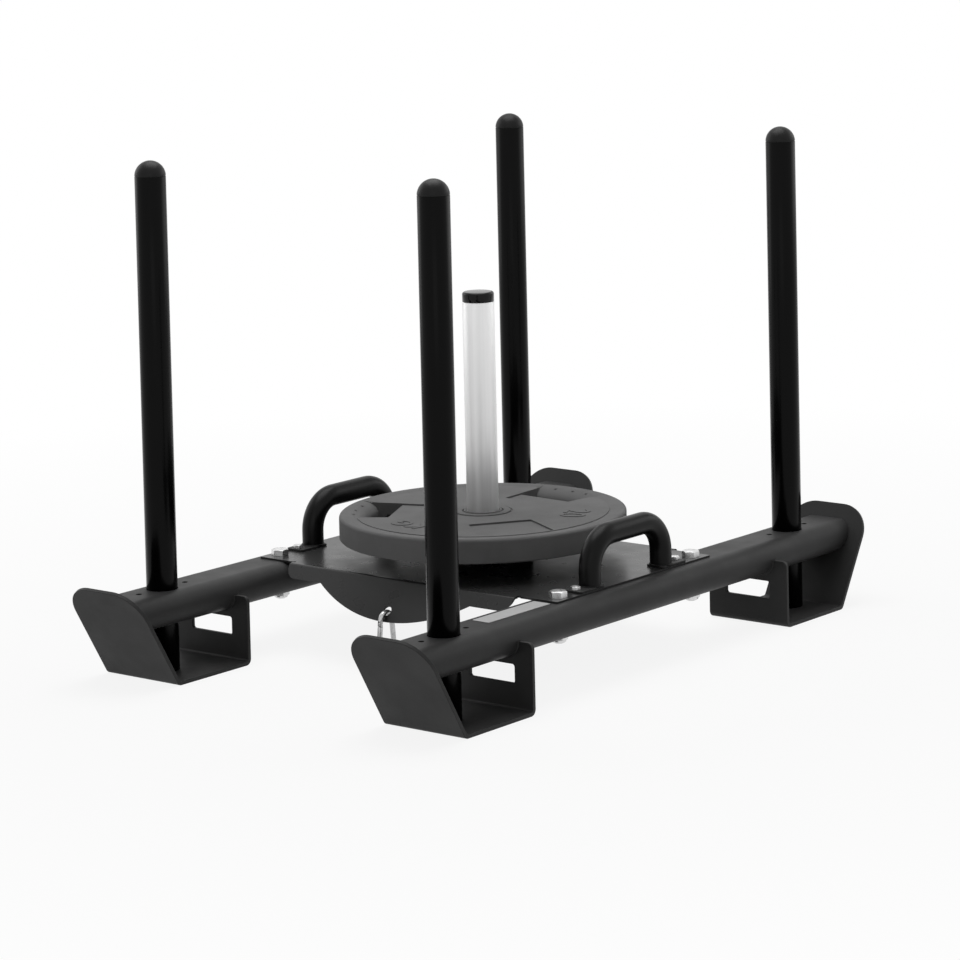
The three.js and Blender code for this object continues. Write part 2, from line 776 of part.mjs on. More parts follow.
// Towing hook, hanging in the tow hole; the gate is on its front leg
const wireRadius = hookWire / 2;
const legLean = Math.asin((hookWideBow - hookNarrowBow) / hookBowSpacing);
const legLength = hookBowSpacing * Math.cos(legLean);
const holeLow = towHoleDrop + (towHole / 2) * Math.cos(apronFlare);
const restY = -apronFoldY - holeLow * Math.tan(apronFlare);
const hookY = restY + (deckSheet / 2) * Math.cos(apronFlare);
const hookRest = hookNarrowBow - wireRadius - fitGap;
const hookZ = deckTop - holeLow - Math.sqrt(hookRest ** 2 - (hookY - restY) ** 2);

// A place on the front leg, counted down from the narrow bow
const legOut = Math.PI - legLean;
const legDown = legOut + Math.PI / 2;
function onLeg(down) {
  return [
    hookY + hookNarrowBow * Math.cos(legOut) + down * Math.cos(legDown),
    hookZ + hookNarrowBow * Math.sin(legOut) + down * Math.sin(legDown),
  ];
}
const noseDown = legLength - hookNoseLength;
const gateStart = pivotDown + pivotRise;
const gateEnd = noseDown - gateGap;
const [pivotY, pivotZ] = onLeg(pivotDown);

// Turns a drawing with +X towards the front and +Y down the front leg into place at the pivot
const atPivot = new THREE.Matrix4().makeBasis(
  new THREE.Vector3(0, Math.cos(legOut), Math.sin(legOut)),
  new THREE.Vector3(0, Math.cos(legDown), Math.sin(legDown)),
  new THREE.Vector3(1, 0, 0),
).setPosition(0, pivotY, pivotZ);

function makeHook() {
  const lowZ = hookZ - hookBowSpacing;
  const lean = legLean;
  const wire = swept(circle(wireRadius, wireSides), [
    station(...onLeg(noseDown), legDown),
    ...bendStations(hookY, lowZ, hookWideBow, Math.PI - lean, 2 * Math.PI + lean, 2 * bendSteps),
    ...bendStations(hookY, hookZ, hookNarrowBow, lean, Math.PI - lean, 2 * bendSteps),
    station(...onLeg(pivotDown + wireRadius), legDown),
  ]);
  const slotWidth = tongueThickness + 2 * fitGap;
  const slot = prism([
    new THREE.Vector2(-wireRadius - overrun, -wireRadius - fitGap),
    new THREE.Vector2(wireRadius + overrun, -wireRadius - fitGap),
    new THREE.Vector2(wireRadius + overrun, wireRadius + overrun),
    new THREE.Vector2(-wireRadius - overrun, wireRadius + overrun),
  ], slotWidth).applyMatrix4(atPivot);
  const rounds = [-1, 1].map((way) => (
    prism(cornerWaste(way * wireRadius, wireRadius, way, 1, wireRadius), hookWire + overrun)
      .applyMatrix4(atPivot)));
  const hole = prism(circle(gatePin / 2 + gatePinGap / 2, wireSides), hookWire + overrun)
    .applyMatrix4(atPivot);
  return cut(solidOf(wire), slot, ...rounds, hole);
}
place('hook_body', makeHook(), finish.chrome, 0, 0, 0, 0);

function makeGate() {
  const bar = swept(circle(wireRadius, wireSides), [
    station(...onLeg(gateStart), legDown),
    station(...onLeg(gateEnd), legDown),
  ]);
  const tongueRadius = wireRadius - fitGap;
  const tongue = prism([
    ...arc(0, 0, tongueRadius, -Math.PI, 0, bendSteps),
    new THREE.Vector2(tongueRadius, pivotRise + wireRadius),
    new THREE.Vector2(-tongueRadius, pivotRise + wireRadius),
  ], tongueThickness).applyMatrix4(atPivot);
  const hole = prism(circle(gatePin / 2 + gatePinGap, wireSides), hookWire + overrun)
    .applyMatrix4(atPivot);
  return cut(join(solidOf(bar), tongue), hole);
}
place('hook_gate', makeGate(), finish.chrome, 0, 0, 0, 0);
place('gate_pin', acrossX(circle(gatePin / 2, wireSides), hookWire), finish.zinc, 0, pivotY, pivotZ, 0);

export default sled;
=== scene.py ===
import math

import bpy
from mathutils import Matrix, Vector


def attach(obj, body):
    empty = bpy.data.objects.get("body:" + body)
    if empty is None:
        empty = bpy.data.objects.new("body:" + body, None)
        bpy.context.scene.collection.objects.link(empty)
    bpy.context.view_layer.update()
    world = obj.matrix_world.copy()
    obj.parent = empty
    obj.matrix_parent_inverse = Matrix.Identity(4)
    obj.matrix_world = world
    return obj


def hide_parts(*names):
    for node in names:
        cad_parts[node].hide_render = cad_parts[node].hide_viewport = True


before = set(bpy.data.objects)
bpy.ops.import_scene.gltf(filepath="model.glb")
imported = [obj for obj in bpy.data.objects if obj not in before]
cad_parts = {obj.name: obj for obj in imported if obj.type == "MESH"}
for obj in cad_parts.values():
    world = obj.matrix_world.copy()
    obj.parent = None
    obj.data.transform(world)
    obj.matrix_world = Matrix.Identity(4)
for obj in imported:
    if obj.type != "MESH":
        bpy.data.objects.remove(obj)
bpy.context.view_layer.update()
scene = bpy.context.scene
mm = 0.001
quarterTurn = math.pi / 2
gap = 0.3                # clearance between parts that touch
beyond = 4               # how far a cutting tool reaches past what it cuts
holeSides = 48
cornerNames = {
    "front_left": (-1, -1), "front_right": (1, -1), "rear_left": (-1, 1), "rear_right": (1, 1),
}


# camera: solved from the photograph, distances in metres
cameraSet = {
    "azimuth": 37.506, "elevation": 4.004, "roll": -1.16,
    "aside": 0.18270, "above": 0.92979, "away": 5.60576,
    "sensor": 36.0, "lens": 133.909, "shiftX": -0.12736, "shiftY": -0.45028,
    "clipEnd": 100,
}


def addCamera():
    a = math.radians(cameraSet["azimuth"])
    e = math.radians(cameraSet["elevation"])
    r = math.radians(cameraSet["roll"])
    back = Vector((math.sin(a) * math.cos(e), -math.cos(a) * math.cos(e), math.sin(e)))
    level = Vector((math.cos(a), math.sin(a), 0))
    upright = back.cross(level)
    right = level * math.cos(r) + upright * math.sin(r)
    up = upright * math.cos(r) - level * math.sin(r)
    spot = right * cameraSet["aside"] + up * cameraSet["above"] + back * cameraSet["away"]
    data = bpy.data.cameras.new("photoCamera")
    data.sensor_width = cameraSet["sensor"]
    data.lens = cameraSet["lens"]
    data.shift_x = cameraSet["shiftX"]
    data.shift_y = cameraSet["shiftY"]
    data.clip_end = cameraSet["clipEnd"]
    camera = bpy.data.objects.new("photoCamera", data)
    scene.collection.objects.link(camera)
    turn = Matrix((right, up, back)).transposed().to_4x4()
    camera.matrix_world = Matrix.Translation(spot) @ turn
    scene.camera = camera


addCamera()
print("camera placed")


# outlines, all in millimetres
def arcPoints(x, y, radius, start, end, steps):
    turn = (end - start) / steps
    return [(x + radius * math.cos(start + turn * i), y + radius * math.sin(start + turn * i))
            for i in range(steps + 1)]


def circlePoints(radius, steps):
    return arcPoints(0, 0, radius, 0, 2 * math.pi, steps)[:-1]


def ovalPoints(width, height, steps):
    radius = height / 2
    straight = width / 2 - radius
    return (arcPoints(straight, 0, radius, -quarterTurn, quarterTurn, steps)
            + arcPoints(-straight, 0, radius, quarterTurn, 3 * quarterTurn, steps))


# corners are (x, y, radius)
def roundedPoints(corners, steps):
    points = []
    for i, (x, y, radius) in enumerate(corners):
        corner = Vector((x, y))
        if radius == 0:
            points.append((x, y))
            continue
        back = (Vector(corners[i - 1][:2]) - corner).normalized()
        ahead = (Vector(corners[(i + 1) % len(corners)][:2]) - corner).normalized()
        half = math.acos(max(-1, min(1, back.dot(ahead)))) / 2
        centre = corner + (back + ahead).normalized() * (radius / math.sin(half))
        start = corner + back * (radius / math.tan(half)) - centre
        end = corner + ahead * (radius / math.tan(half)) - centre
        angle = math.atan2(start.y, start.x)
        turn = math.atan2(start.x * end.y - start.y * end.x, start.dot(end))
        points += arcPoints(centre.x, centre.y, radius, angle, angle + turn, steps)
    return points


def boxPoints(width, height, radius, steps=6):
    x, y = width / 2, height / 2
    corners = [(-x, -y, radius), (x, -y, radius), (x, y, radius), (-x, y, radius)]
    return roundedPoints(corners, steps)


# sheet bent at each inner corner; bends turn left and the sheet lies on the left
def bentStrip(points, thickness, insideRadius, steps):
    spots = [Vector(p) for p in points]
    runs = [(b - a).normalized() for a, b in zip(spots, spots[1:])]
    lefts = [Vector((-run.y, run.x)) for run in runs]
    outside, inside = [], []
    for i, corner in enumerate(spots[1:-1]):
        cross = runs[i].x * runs[i + 1].y - runs[i].y * runs[i + 1].x
        turn = math.atan2(cross, runs[i].dot(runs[i + 1]))
        reach = insideRadius + thickness
        centre = corner - runs[i] * (reach * math.tan(turn / 2)) + lefts[i] * reach
        start = math.atan2(lefts[i].y, lefts[i].x) + math.pi
        outside += arcPoints(centre.x, centre.y, reach, start, start + turn, steps)
        inside += arcPoints(centre.x, centre.y, insideRadius, start, start + turn, steps)
    first, last = spots[0], spots[-1]
    return ([tuple(first)] + outside + [tuple(last), tuple(last + lefts[-1] * thickness)]
            + inside[::-1] + [tuple(first + lefts[0] * thickness)])


# what a round corner takes off a square one
def cornerWaste(x, y, signX, signY, radius, beyond, steps):
    centreX, centreY = x - signX * radius, y - signY * radius
    arc = [(centreX + signX * a, centreY + signY * b)
           for a, b in arcPoints(0, 0, radius, 0, quarterTurn, steps)]
    outX, outY = x + signX * beyond, y + signY * beyond
    return arc + [(centreX, outY), (outX, outY), (outX, centreY)]


# shapes: lists of points in millimetres and of faces
def alongX(u, v, w):
    return (w, u, v)


def alongY(u, v, w):
    return (u, w, v)


def alongZ(u, v, w):
    return (u, v, w)


# faces between loops of points that follow each other, with an end face on the first and last
def bridged(loops, count, closed=False):
    faces = []
    for i in range(loops if closed else loops - 1):
        low, high = i * count, (i + 1) % loops * count
        faces += [(low + k, low + (k + 1) % count, high + (k + 1) % count, high + k)
                  for k in range(count)]
    if not closed:
        faces += [tuple(range(count))[::-1], tuple(range((loops - 1) * count, loops * count))]
    return faces


def extruded(outline, low, high, place):
    points = [place(u, v, w) for w in (low, high) for u, v in outline]
    return points, bridged(2, len(outline))


def hollowExtruded(outer, inner, low, high, place):
    count = len(outer)
    points = [place(u, v, w) for w in (low, high) for loop in (outer, inner) for u, v in loop]
    faces = []
    for i in range(count):
        j = (i + 1) % count
        faces += [(i, j, 2 * count + j, 2 * count + i),
                  (count + j, count + i, 3 * count + i, 3 * count + j),
                  (j, i, count + i, count + j),
                  (2 * count + i, 2 * count + j, 3 * count + j, 3 * count + i)]
    return points, faces


# (radius, height) pairs turned about an upright axis; starts and ends on it, or closes
def turned(profile, sides, x=0, y=0):
    closed = profile[0] == profile[-1]
    rows = profile[:-1] if closed else profile
    points, starts = [], []
    for radius, height in rows:
        starts.append(len(points))
        if radius == 0:
            points.append((x, y, height))
        else:
            points += [(x + u, y + v, height) for u, v in circlePoints(radius, sides)]
    faces = []
    pairs = list(zip(range(len(rows)), range(1, len(rows))))
    if closed:
        pairs.append((len(rows) - 1, 0))
    for a, b in pairs:
        for i in range(sides):
            j = (i + 1) % sides
            if rows[a][0] == 0 and rows[b][0] == 0:
                continue
            if rows[a][0] == 0:
                faces.append((starts[a], starts[b] + j, starts[b] + i))
            elif rows[b][0] == 0:
                faces.append((starts[a] + i, starts[a] + j, starts[b]))
            else:
                faces.append((starts[a] + i, starts[a] + j, starts[b] + j, starts[b] + i))
    return points, faces


# round bar along a path that lies in a plane with this normal
def swept(path, radii, sides, plane, closed=False):
    spots = [Vector(p) for p in path]
    count = len(spots)
    points = []
    for i, spot in enumerate(spots):
        before = spots[i - 1] if closed or i else spot
        after = spots[(i + 1) % count] if closed or i < count - 1 else spot
        side = (after - before).normalized().cross(plane)
        radius = radii[i] if isinstance(radii, list) else radii
        for u, v in circlePoints(radius, sides):
            points.append(tuple(spot + side * u + plane * v))
    return points, bridged(count, sides, closed)


weldSet = {"ripple": 2.4, "rippleSteps": 3, "rippleDepth": 0.18, "leastSteps": 8, "sides": 8}


# weld bead: the path is divided evenly, and the bead swells and narrows once a ripple
def weldBead(path, radius, plane, closed=False):
    spots = [Vector(p) for p in path] + ([Vector(path[0])] if closed else [])
    wave = weldSet["rippleSteps"]
    lengths = [0]
    for a, b in zip(spots, spots[1:]):
        lengths.append(lengths[-1] + (b - a).length)
    steps = max(weldSet["leastSteps"], round(lengths[-1] / weldSet["ripple"]) * wave)
    even, radii, k = [], [], 0
    for i in range(steps if closed else steps + 1):
        at = lengths[-1] * i / steps
        while k < len(lengths) - 2 and lengths[k + 1] < at:
            k += 1
        share = (at - lengths[k]) / max(lengths[k + 1] - lengths[k], 1e-6)
        even.append(tuple(spots[k].lerp(spots[k + 1], min(1, share))))
        radii.append(radius * (1 - weldSet["rippleDepth"] * (i % wave) / (wave - 1)))
    return swept(even, radii, weldSet["sides"], plane, closed)


def moved(shape, move):
    points, faces = shape
    return [tuple(move(*p)) for p in points], faces


def shifted(shape, x, y, z):
    return moved(shape, lambda a, b, c: (a + x, b + y, c + z))


def turnedRound(shape, angle):
    c, s = math.cos(angle), math.sin(angle)
    return moved(shape, lambda a, b, z: (a * c - b * s, a * s + b * c, z))


def makePiece(name, shapes):
    points, faces = [], []
    for shapePoints, shapeFaces in shapes:
        base = len(points)
        points += [(x * mm, y * mm, z * mm) for x, y, z in shapePoints]
        faces += [tuple(base + i for i in face) for face in shapeFaces]
    mesh = bpy.data.meshes.new(name)
    mesh.from_pydata(points, [], faces)
    mesh.validate()
    piece = bpy.data.objects.new(name, mesh)
    scene.collection.objects.link(piece)
    bpy.context.view_layer.objects.active = piece
    piece.select_set(True)
    bpy.ops.object.mode_set(mode="EDIT")
    bpy.ops.mesh.select_all(action="SELECT")
    bpy.ops.mesh.normals_make_consistent(inside=False)
    bpy.ops.object.mode_set(mode="OBJECT")
    piece.select_set(False)
    return piece


def applyModifiers(piece):
    bpy.context.view_layer.update()
    graph = bpy.context.evaluated_depsgraph_get()
    mesh = bpy.data.meshes.new_from_object(piece.evaluated_get(graph))
    piece.modifiers.clear()
    piece.data = mesh


def cutAway(piece, shapes):
    tools = [makePiece("tool", [shape]) for shape in shapes]
    for tool in tools:
        cut = piece.modifiers.new("cut", "BOOLEAN")
        cut.operation = "DIFFERENCE"
        cut.solver = "EXACT"
        cut.object = tool
    applyModifiers(piece)
    for tool in tools:
        bpy.data.objects.remove(tool)


# rounds the edges, gives the finish and ties the piece to its body
def finishPiece(piece, material, body, node=None, edge=0, smooth=32):
    piece.data.materials.clear()
    piece.data.materials.append(material)
    piece.data.polygons.foreach_set("use_smooth", [True] * len(piece.data.polygons))
    piece.data.set_sharp_from_angle(angle=math.radians(smooth))
    if edge:
        bevel = piece.modifiers.new("edge", "BEVEL")
        bevel.width = edge * mm
        bevel.segments = 2
        bevel.limit_method = "ANGLE"
        bevel.angle_limit = math.radians(smooth)
        bevel.harden_normals = True
    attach(piece, body)
    if node:
        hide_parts(node)


# finishes
def linearColour(hexText):
    values = [int(hexText[i:i + 2], 16) / 255 for i in (1, 3, 5)]
    linear = [v / 12.92 if v <= 0.04045 else ((v + 0.055) / 1.055) ** 2.4 for v in values]
    return (*linear, 1)


def addNode(tree, kind, settings=None, inputs=None):
    node = tree.nodes.new(kind)
    for key, value in (settings or {}).items():
        setattr(node, key, value)
    for key, value in (inputs or {}).items():
        if isinstance(value, bpy.types.NodeSocket):
            tree.links.new(value, node.inputs[key])
        else:
            node.inputs[key].default_value = value
    return node


# noise scale for a feature of this size in millimetres
def perMetre(sizeMm):
    return 1 / (sizeMm * mm)


def startMaterial(name):
    material = bpy.data.materials.new(name)
    material.use_nodes = True
    tree = material.node_tree
    tree.nodes.clear()
    place = addNode(tree, "ShaderNodeTexCoord").outputs["Object"]
    return material, tree, place


# most of a noise texture's values lie in this span
noiseLow, noiseHigh = 0.3, 0.7


# colour that drifts between two tones, over patches of this size in millimetres
def driftingTone(tree, place, low, high, size, detail):
    patch = addNode(tree, "ShaderNodeTexNoise", inputs={
        "Vector": place, "Scale": perMetre(size), "Detail": detail})
    ramp = addNode(tree, "ShaderNodeValToRGB", inputs={"Fac": patch.outputs["Fac"]})
    stops = zip(ramp.color_ramp.elements, (noiseLow, noiseHigh), (low, high))
    for element, position, tone in stops:
        element.position = position
        element.color = linearColour(tone)
    return patch.outputs["Fac"], ramp.outputs["Color"]


# shader and output; its shine changes from place to place as the noise does
def addSurface(tree, noise, roughLow, roughHigh, inputs):
    rough = addNode(tree, "ShaderNodeMapRange", inputs={
        "Value": noise, "From Min": noiseLow, "From Max": noiseHigh,
        "To Min": roughLow, "To Max": roughHigh})
    shader = addNode(tree, "ShaderNodeBsdfPrincipled", inputs={
        "Roughness": rough.outputs["Result"], **inputs})
    addNode(tree, "ShaderNodeOutputMaterial", inputs={"Surface": shader.outputs["BSDF"]})


# powder coat: baked paint with a satin sheen, faintly cloudy, with the orange peel of melted
# powder, drawn at 3 mm so that it shows
def powderCoat(name, low, high, roughLow, roughHigh, specular, peel):
    material, tree, place = startMaterial(name)
    _, tone = driftingTone(tree, place, low, high, size=90, detail=4.0)
    patch = addNode(tree, "ShaderNodeTexNoise", inputs={
        "Vector": place, "Scale": perMetre(35), "Detail": 5.0})
    skin = addNode(tree, "ShaderNodeTexNoise", inputs={
        "Vector": place, "Scale": perMetre(3), "Detail": 3.0})
    dimple = addNode(tree, "ShaderNodeBump", inputs={
        "Height": skin.outputs["Fac"], "Strength": peel, "Distance": 0.12 * mm})
    addSurface(tree, patch.outputs["Fac"], roughLow, roughHigh, {
        "Base Color": tone, "Specular IOR Level": specular, "Normal": dimple.outputs["Normal"]})
    return material


# satin chrome on drawn tube: bright and soft, with streaks along the tube; in its roughness they
# are draw lines that stretch its reflections, and in its tone they are painted reflection streaks
def chromePlate(name, low, high):
    material, tree, place = startMaterial(name)
    along = addNode(tree, "ShaderNodeMapping", inputs={"Vector": place, "Scale": (1, 1, 0.004)})
    # the same streaks lighten and darken the base tone along the tube: painted reflection streaks
    streakNoise, tone = driftingTone(tree, along.outputs["Vector"], low, high, size=9, detail=2.0)
    addSurface(tree, streakNoise, roughLow=0.4, roughHigh=0.48, inputs={
        "Base Color": tone, "Metallic": 0.6})
    return material


# bright zinc plate: pale grey metal, softly mottled, its shine broken by the passivation
def zincPlate(name, low, high):
    material, tree, place = startMaterial(name)
    patch, tone = driftingTone(tree, place, low, high, size=6, detail=3.0)
    dimple = addNode(tree, "ShaderNodeBump", inputs={
        "Height": patch, "Strength": 0.05, "Distance": 0.05 * mm})
    addSurface(tree, patch, roughLow=0.24, roughHigh=0.38, inputs={
        "Base Color": tone, "Metallic": 1.0, "Normal": dimple.outputs["Normal"]})
    return material


# enamelled cast iron: matt grey, slightly uneven, with the fine pitting of the sand mould
def castEnamel(name, low, high):
    material, tree, place = startMaterial(name)
    _, tone = driftingTone(tree, place, low, high, size=60, detail=5.0)
    sand = addNode(tree, "ShaderNodeTexNoise", inputs={
        "Vector": place, "Scale": perMetre(2.2), "Detail": 4.0})
    pits = addNode(tree, "ShaderNodeBump", inputs={
        "Height": sand.outputs["Fac"], "Strength": 0.2, "Distance": 0.2 * mm})
    addSurface(tree, sand.outputs["Fac"], roughLow=0.6, roughHigh=0.75, inputs={
        "Base Color": tone, "Specular IOR Level": 0.05, "Normal": pits.outputs["Normal"]})
    return material


# moulded polyethylene or vinyl film: even colour, soft sheen, fine leather-like grain
def mouldedPlastic(name, low, high, roughLow, roughHigh):
    material, tree, place = startMaterial(name)
    _, tone = driftingTone(tree, place, low, high, size=25, detail=3.0)
    grain = addNode(tree, "ShaderNodeTexNoise", inputs={
        "Vector": place, "Scale": perMetre(1.6), "Detail": 3.0})
    dimple = addNode(tree, "ShaderNodeBump", inputs={
        "Height": grain.outputs["Fac"], "Strength": 0.1, "Distance": 0.1 * mm})
    addSurface(tree, grain.outputs["Fac"], roughLow, roughHigh, {
        "Base Color": tone, "Specular IOR Level": 0.18, "Normal": dimple.outputs["Normal"]})
    return material


framePaint = powderCoat("powderCoatDarkGrey", "#2e2e2e", "#353535",
                        roughLow=0.48, roughHigh=0.56, specular=0.19, peel=0.2)
deckPaint = powderCoat("powderCoatDeck", "#2e2e2e", "#353535",
                       roughLow=0.26, roughHigh=0.32, specular=0.25, peel=0.02)
handlePaint = powderCoat("powderCoatHandle", "#080808", "#0d0d0d",
                         roughLow=0.28, roughHigh=0.36, specular=0.13, peel=0.12)
polePaint = powderCoat("powderCoatNearBlack", "#030303", "#050505",
                       roughLow=0.2, roughHigh=0.26, specular=0.085, peel=0.05)
chrome = chromePlate("satinChromeTube", "#ededed", "#fafafa")
brightSteel = zincPlate("zincPlateBright", "#cbcbcb", "#e2e2e2")
hookSteel = zincPlate("zincPlateHook", "#a6a6a6", "#c6c6c6")
plateEnamel = castEnamel("castIronEnamel", "#707070", "#7a7a7a")
blackPlastic = mouldedPlastic("mouldedPolyethylene", "#121212", "#171717",
                              roughLow=0.34, roughHigh=0.44)
glossCap = mouldedPlastic("mouldedCapGloss", "#0e0e0e", "#131313", roughLow=0.1, roughHigh=0.16)
badgeFilm = mouldedPlastic("vinylFilm", "#d0d0d0", "#d6d6d6", roughLow=0.3, roughHigh=0.4)
print("finishes made")


# rails; their ends follow the leaning toes, so the shoes' values stand here too
railSet = {
    "spacing": 557.8, "width": 100, "height": 50, "underside": 81, "arcSteps": 20, "edge": 0.5,
    "poleHole": 24.1, "poleY": 431,
    "spareHole": 4.5, "spareSides": 24, "spareDepth": 12, "spareOffset": 49.5,
}
shoeSet = {
    "plate": 6, "width": 151, "bend": 4, "heel": 319, "toe": 477, "lean": 30.5, "length": 174,
    "toeCorner": 50, "earCorner": 9, "earGap": 1, "edge": 0.8, "arcSteps": 14, "bendSteps": 8,
    "weld": 2.2, "windowWidth": 83.6, "windowHeight": 27.8, "windowSill": 43.4, "windowCorner": 4,
}
railX = railSet["spacing"] / 2
railMid = railSet["underside"] + railSet["height"] / 2
railTop = railSet["underside"] + railSet["height"]
lean = math.radians(shoeSet["lean"])


def toeInner(height):
    return shoeSet["toe"] + height * math.tan(lean) - (shoeSet["plate"] + gap) / math.cos(lean)


def addRail(side, sign):
    outline = ovalPoints(railSet["width"], railSet["height"], railSet["arcSteps"])
    points, faces = extruded(outline, -1, 1, alongY)
    points = [(x + sign * railX, y * toeInner(z + railMid), z + railMid) for x, y, z in points]
    rail = makePiece(f"rail_{side}_tube", [(points, faces)])
    hole = extruded(circlePoints(railSet["poleHole"], holeSides),
                    railSet["underside"] - beyond, railTop + beyond, alongZ)
    spare = extruded(circlePoints(railSet["spareHole"], railSet["spareSides"]),
                     railTop - railSet["spareDepth"], railTop + beyond, alongZ)
    cuts = []
    for end in (-1, 1):
        cuts.append(shifted(hole, sign * railX, end * railSet["poleY"], 0))
        for way in (-1, 1):
            y = end * (railSet["poleY"] + way * railSet["spareOffset"])
            cuts.append(shifted(spare, sign * railX, y, 0))
    cutAway(rail, cuts)
    finishPiece(rail, framePaint, "frame", f"rail_{side}", railSet["edge"])


addRail("left", -1)
addRail("right", 1)
print("rails made")


# skid shoes
def addShoe(corner, sideX, end):
    s = shoeSet
    top = (s["toe"] + s["length"] * math.sin(lean), s["length"] * math.cos(lean))
    side = bentStrip([(s["heel"], railMid), (s["heel"], 0), (s["toe"], 0), top],
                     s["plate"], s["bend"], s["bendSteps"])
    half = s["width"] / 2
    shoe = makePiece(f"shoe_{corner}_plate", [extruded(side, -half, half, alongX)])
    low, high = s["heel"] - beyond, s["heel"] + s["plate"] + beyond
    window = boxPoints(s["windowWidth"], s["windowHeight"], s["windowCorner"])
    sill = s["windowSill"] + s["windowHeight"] / 2
    saddle = ovalPoints(railSet["width"] + 2 * s["earGap"], railSet["height"] + 2 * s["earGap"],
                        s["arcSteps"])
    cuts = [shifted(extruded(window, low, high, alongY), 0, 0, sill),
            shifted(extruded(saddle, low, high, alongY), 0, 0, railMid)]

    def onToe(x, up, out):
        return (x, s["toe"] + up * math.sin(lean) - out * math.cos(lean),
                up * math.cos(lean) + out * math.sin(lean))

    for way in (-1, 1):
        ear = cornerWaste(way * half, railMid, way, 1, s["earCorner"], beyond, s["arcSteps"])
        cuts.append(extruded(ear, low, high, alongY))
        toe = cornerWaste(way * half, s["length"], way, 1, s["toeCorner"], beyond, s["arcSteps"])
        cuts.append(extruded(toe, -beyond, s["plate"] + beyond, onToe))
    cutAway(shoe, cuts)
    for vertex in shoe.data.vertices:
        vertex.co.y *= end
        vertex.co.x += sideX * railX * mm
    if end < 0:
        shoe.data.flip_normals()
    finishPiece(shoe, framePaint, "frame", f"shoe_{corner}", s["edge"], smooth=28)


# beads that close the heel's saddle against the underside of the rail
def addSaddleWelds(corner, sideX, end):
    s = shoeSet
    bow = railSet["height"] / 2
    flat = railSet["width"] / 2 - bow
    under = (arcPoints(-flat, railMid, bow, math.pi, 3 * quarterTurn, s["arcSteps"])
             + arcPoints(flat, railMid, bow, 3 * quarterTurn, 4 * quarterTurn, s["arcSteps"]))
    beads = []
    for y in (s["heel"], s["heel"] + s["plate"]):
        path = [(sideX * railX + u, end * y, v) for u, v in under]
        beads.append(weldBead(path, s["weld"], Vector((0, 1, 0))))
    welds = makePiece(f"shoe_{corner}_welds", beads)
    finishPiece(welds, framePaint, "frame", smooth=80)


for corner, (sideX, end) in cornerNames.items():
    addShoe(corner, sideX, end)
    addSaddleWelds(corner, sideX, end)
print("shoes made")


# deck
deckSet = {
    "sheet": 3, "width": 594.8, "tab": 386, "sheetCorner": 1.5, "sheetSteps": 4,
    "bend": 2, "bendSteps": 8, "apronWidth": 450, "fold": 203, "flare": 35.5,
    "sideDrop": 20, "midDrop": 57, "corner": 20, "cornerSteps": 12,
    "tongue": 298, "tongueSteps": 48, "relief": 3, "reliefSides": 20,
    "towHole": 7.5, "towDrop": 42, "edge": 0.5,
}
deckTop = railTop + deckSet["sheet"]
flare = math.radians(deckSet["flare"])


def addDeck():
    d = deckSet
    low = deckTop - d["midDrop"]
    edgeY = d["fold"] + d["midDrop"] * math.tan(flare)
    side = bentStrip([(edgeY, low), (d["fold"], deckTop), (-d["fold"], deckTop), (-edgeY, low)],
                     d["sheet"], d["bend"], d["bendSteps"])
    half = d["apronWidth"] / 2
    deck = makePiece("deck_sheet", [extruded(side, -half, half, alongX)])
    sideZ = deckTop - d["sideDrop"]
    sag = d["midDrop"] - d["sideDrop"]
    radius = ((d["tongue"] / 2) ** 2 + sag ** 2) / (2 * sag)
    swing = math.asin(d["tongue"] / 2 / radius)
    out = half + beyond
    below = ([(-out, low - beyond), (out, low - beyond), (out, sideZ)]
             + arcPoints(0, low + radius, radius, -quarterTurn + swing, -quarterTurn - swing,
                         d["tongueSteps"])
             + [(-out, sideZ)])
    cuts = [extruded(below, -edgeY - beyond, edgeY + beyond, alongY)]
    for end in (-1, 1):
        span = sorted((end * (d["tab"] / 2 + beyond), end * (edgeY + beyond)))
        for way in (-1, 1):
            waste = cornerWaste(way * half, sideZ, way, -1, d["corner"], beyond, d["cornerSteps"])
            cuts.append(extruded(waste, *span, alongY))
    cutAway(deck, cuts)

    outline = boxPoints(d["width"], d["tab"], d["sheetCorner"], d["sheetSteps"])
    sheet = makePiece("sheet", [extruded(outline, railTop, deckTop, alongZ)])
    union = deck.modifiers.new("join", "BOOLEAN")
    union.operation = "UNION"
    union.solver = "EXACT"
    union.object = sheet
    applyModifiers(deck)
    bpy.data.objects.remove(sheet)

    relief = extruded(circlePoints(d["relief"], d["reliefSides"]),
                      railTop - beyond, deckTop + beyond, alongZ)
    cuts = [shifted(relief, sideX * half, end * d["tab"] / 2, 0)
            for sideX, end in cornerNames.values()]
    holeY = -d["fold"] - d["towDrop"] * math.tan(flare)
    holeZ = deckTop - d["towDrop"]

    def onApron(x, along, out):
        return (x, holeY + along * math.sin(flare) - out * math.cos(flare),
                holeZ + along * math.cos(flare) + out * math.sin(flare))

    cuts.append(extruded(circlePoints(d["towHole"], holeSides),
                         -beyond - d["sheet"], beyond + d["sheet"], onApron))
    cutAway(deck, cuts)
    finishPiece(deck, deckPaint, "frame", "deck", d["edge"], smooth=24)


addDeck()
print("deck made")


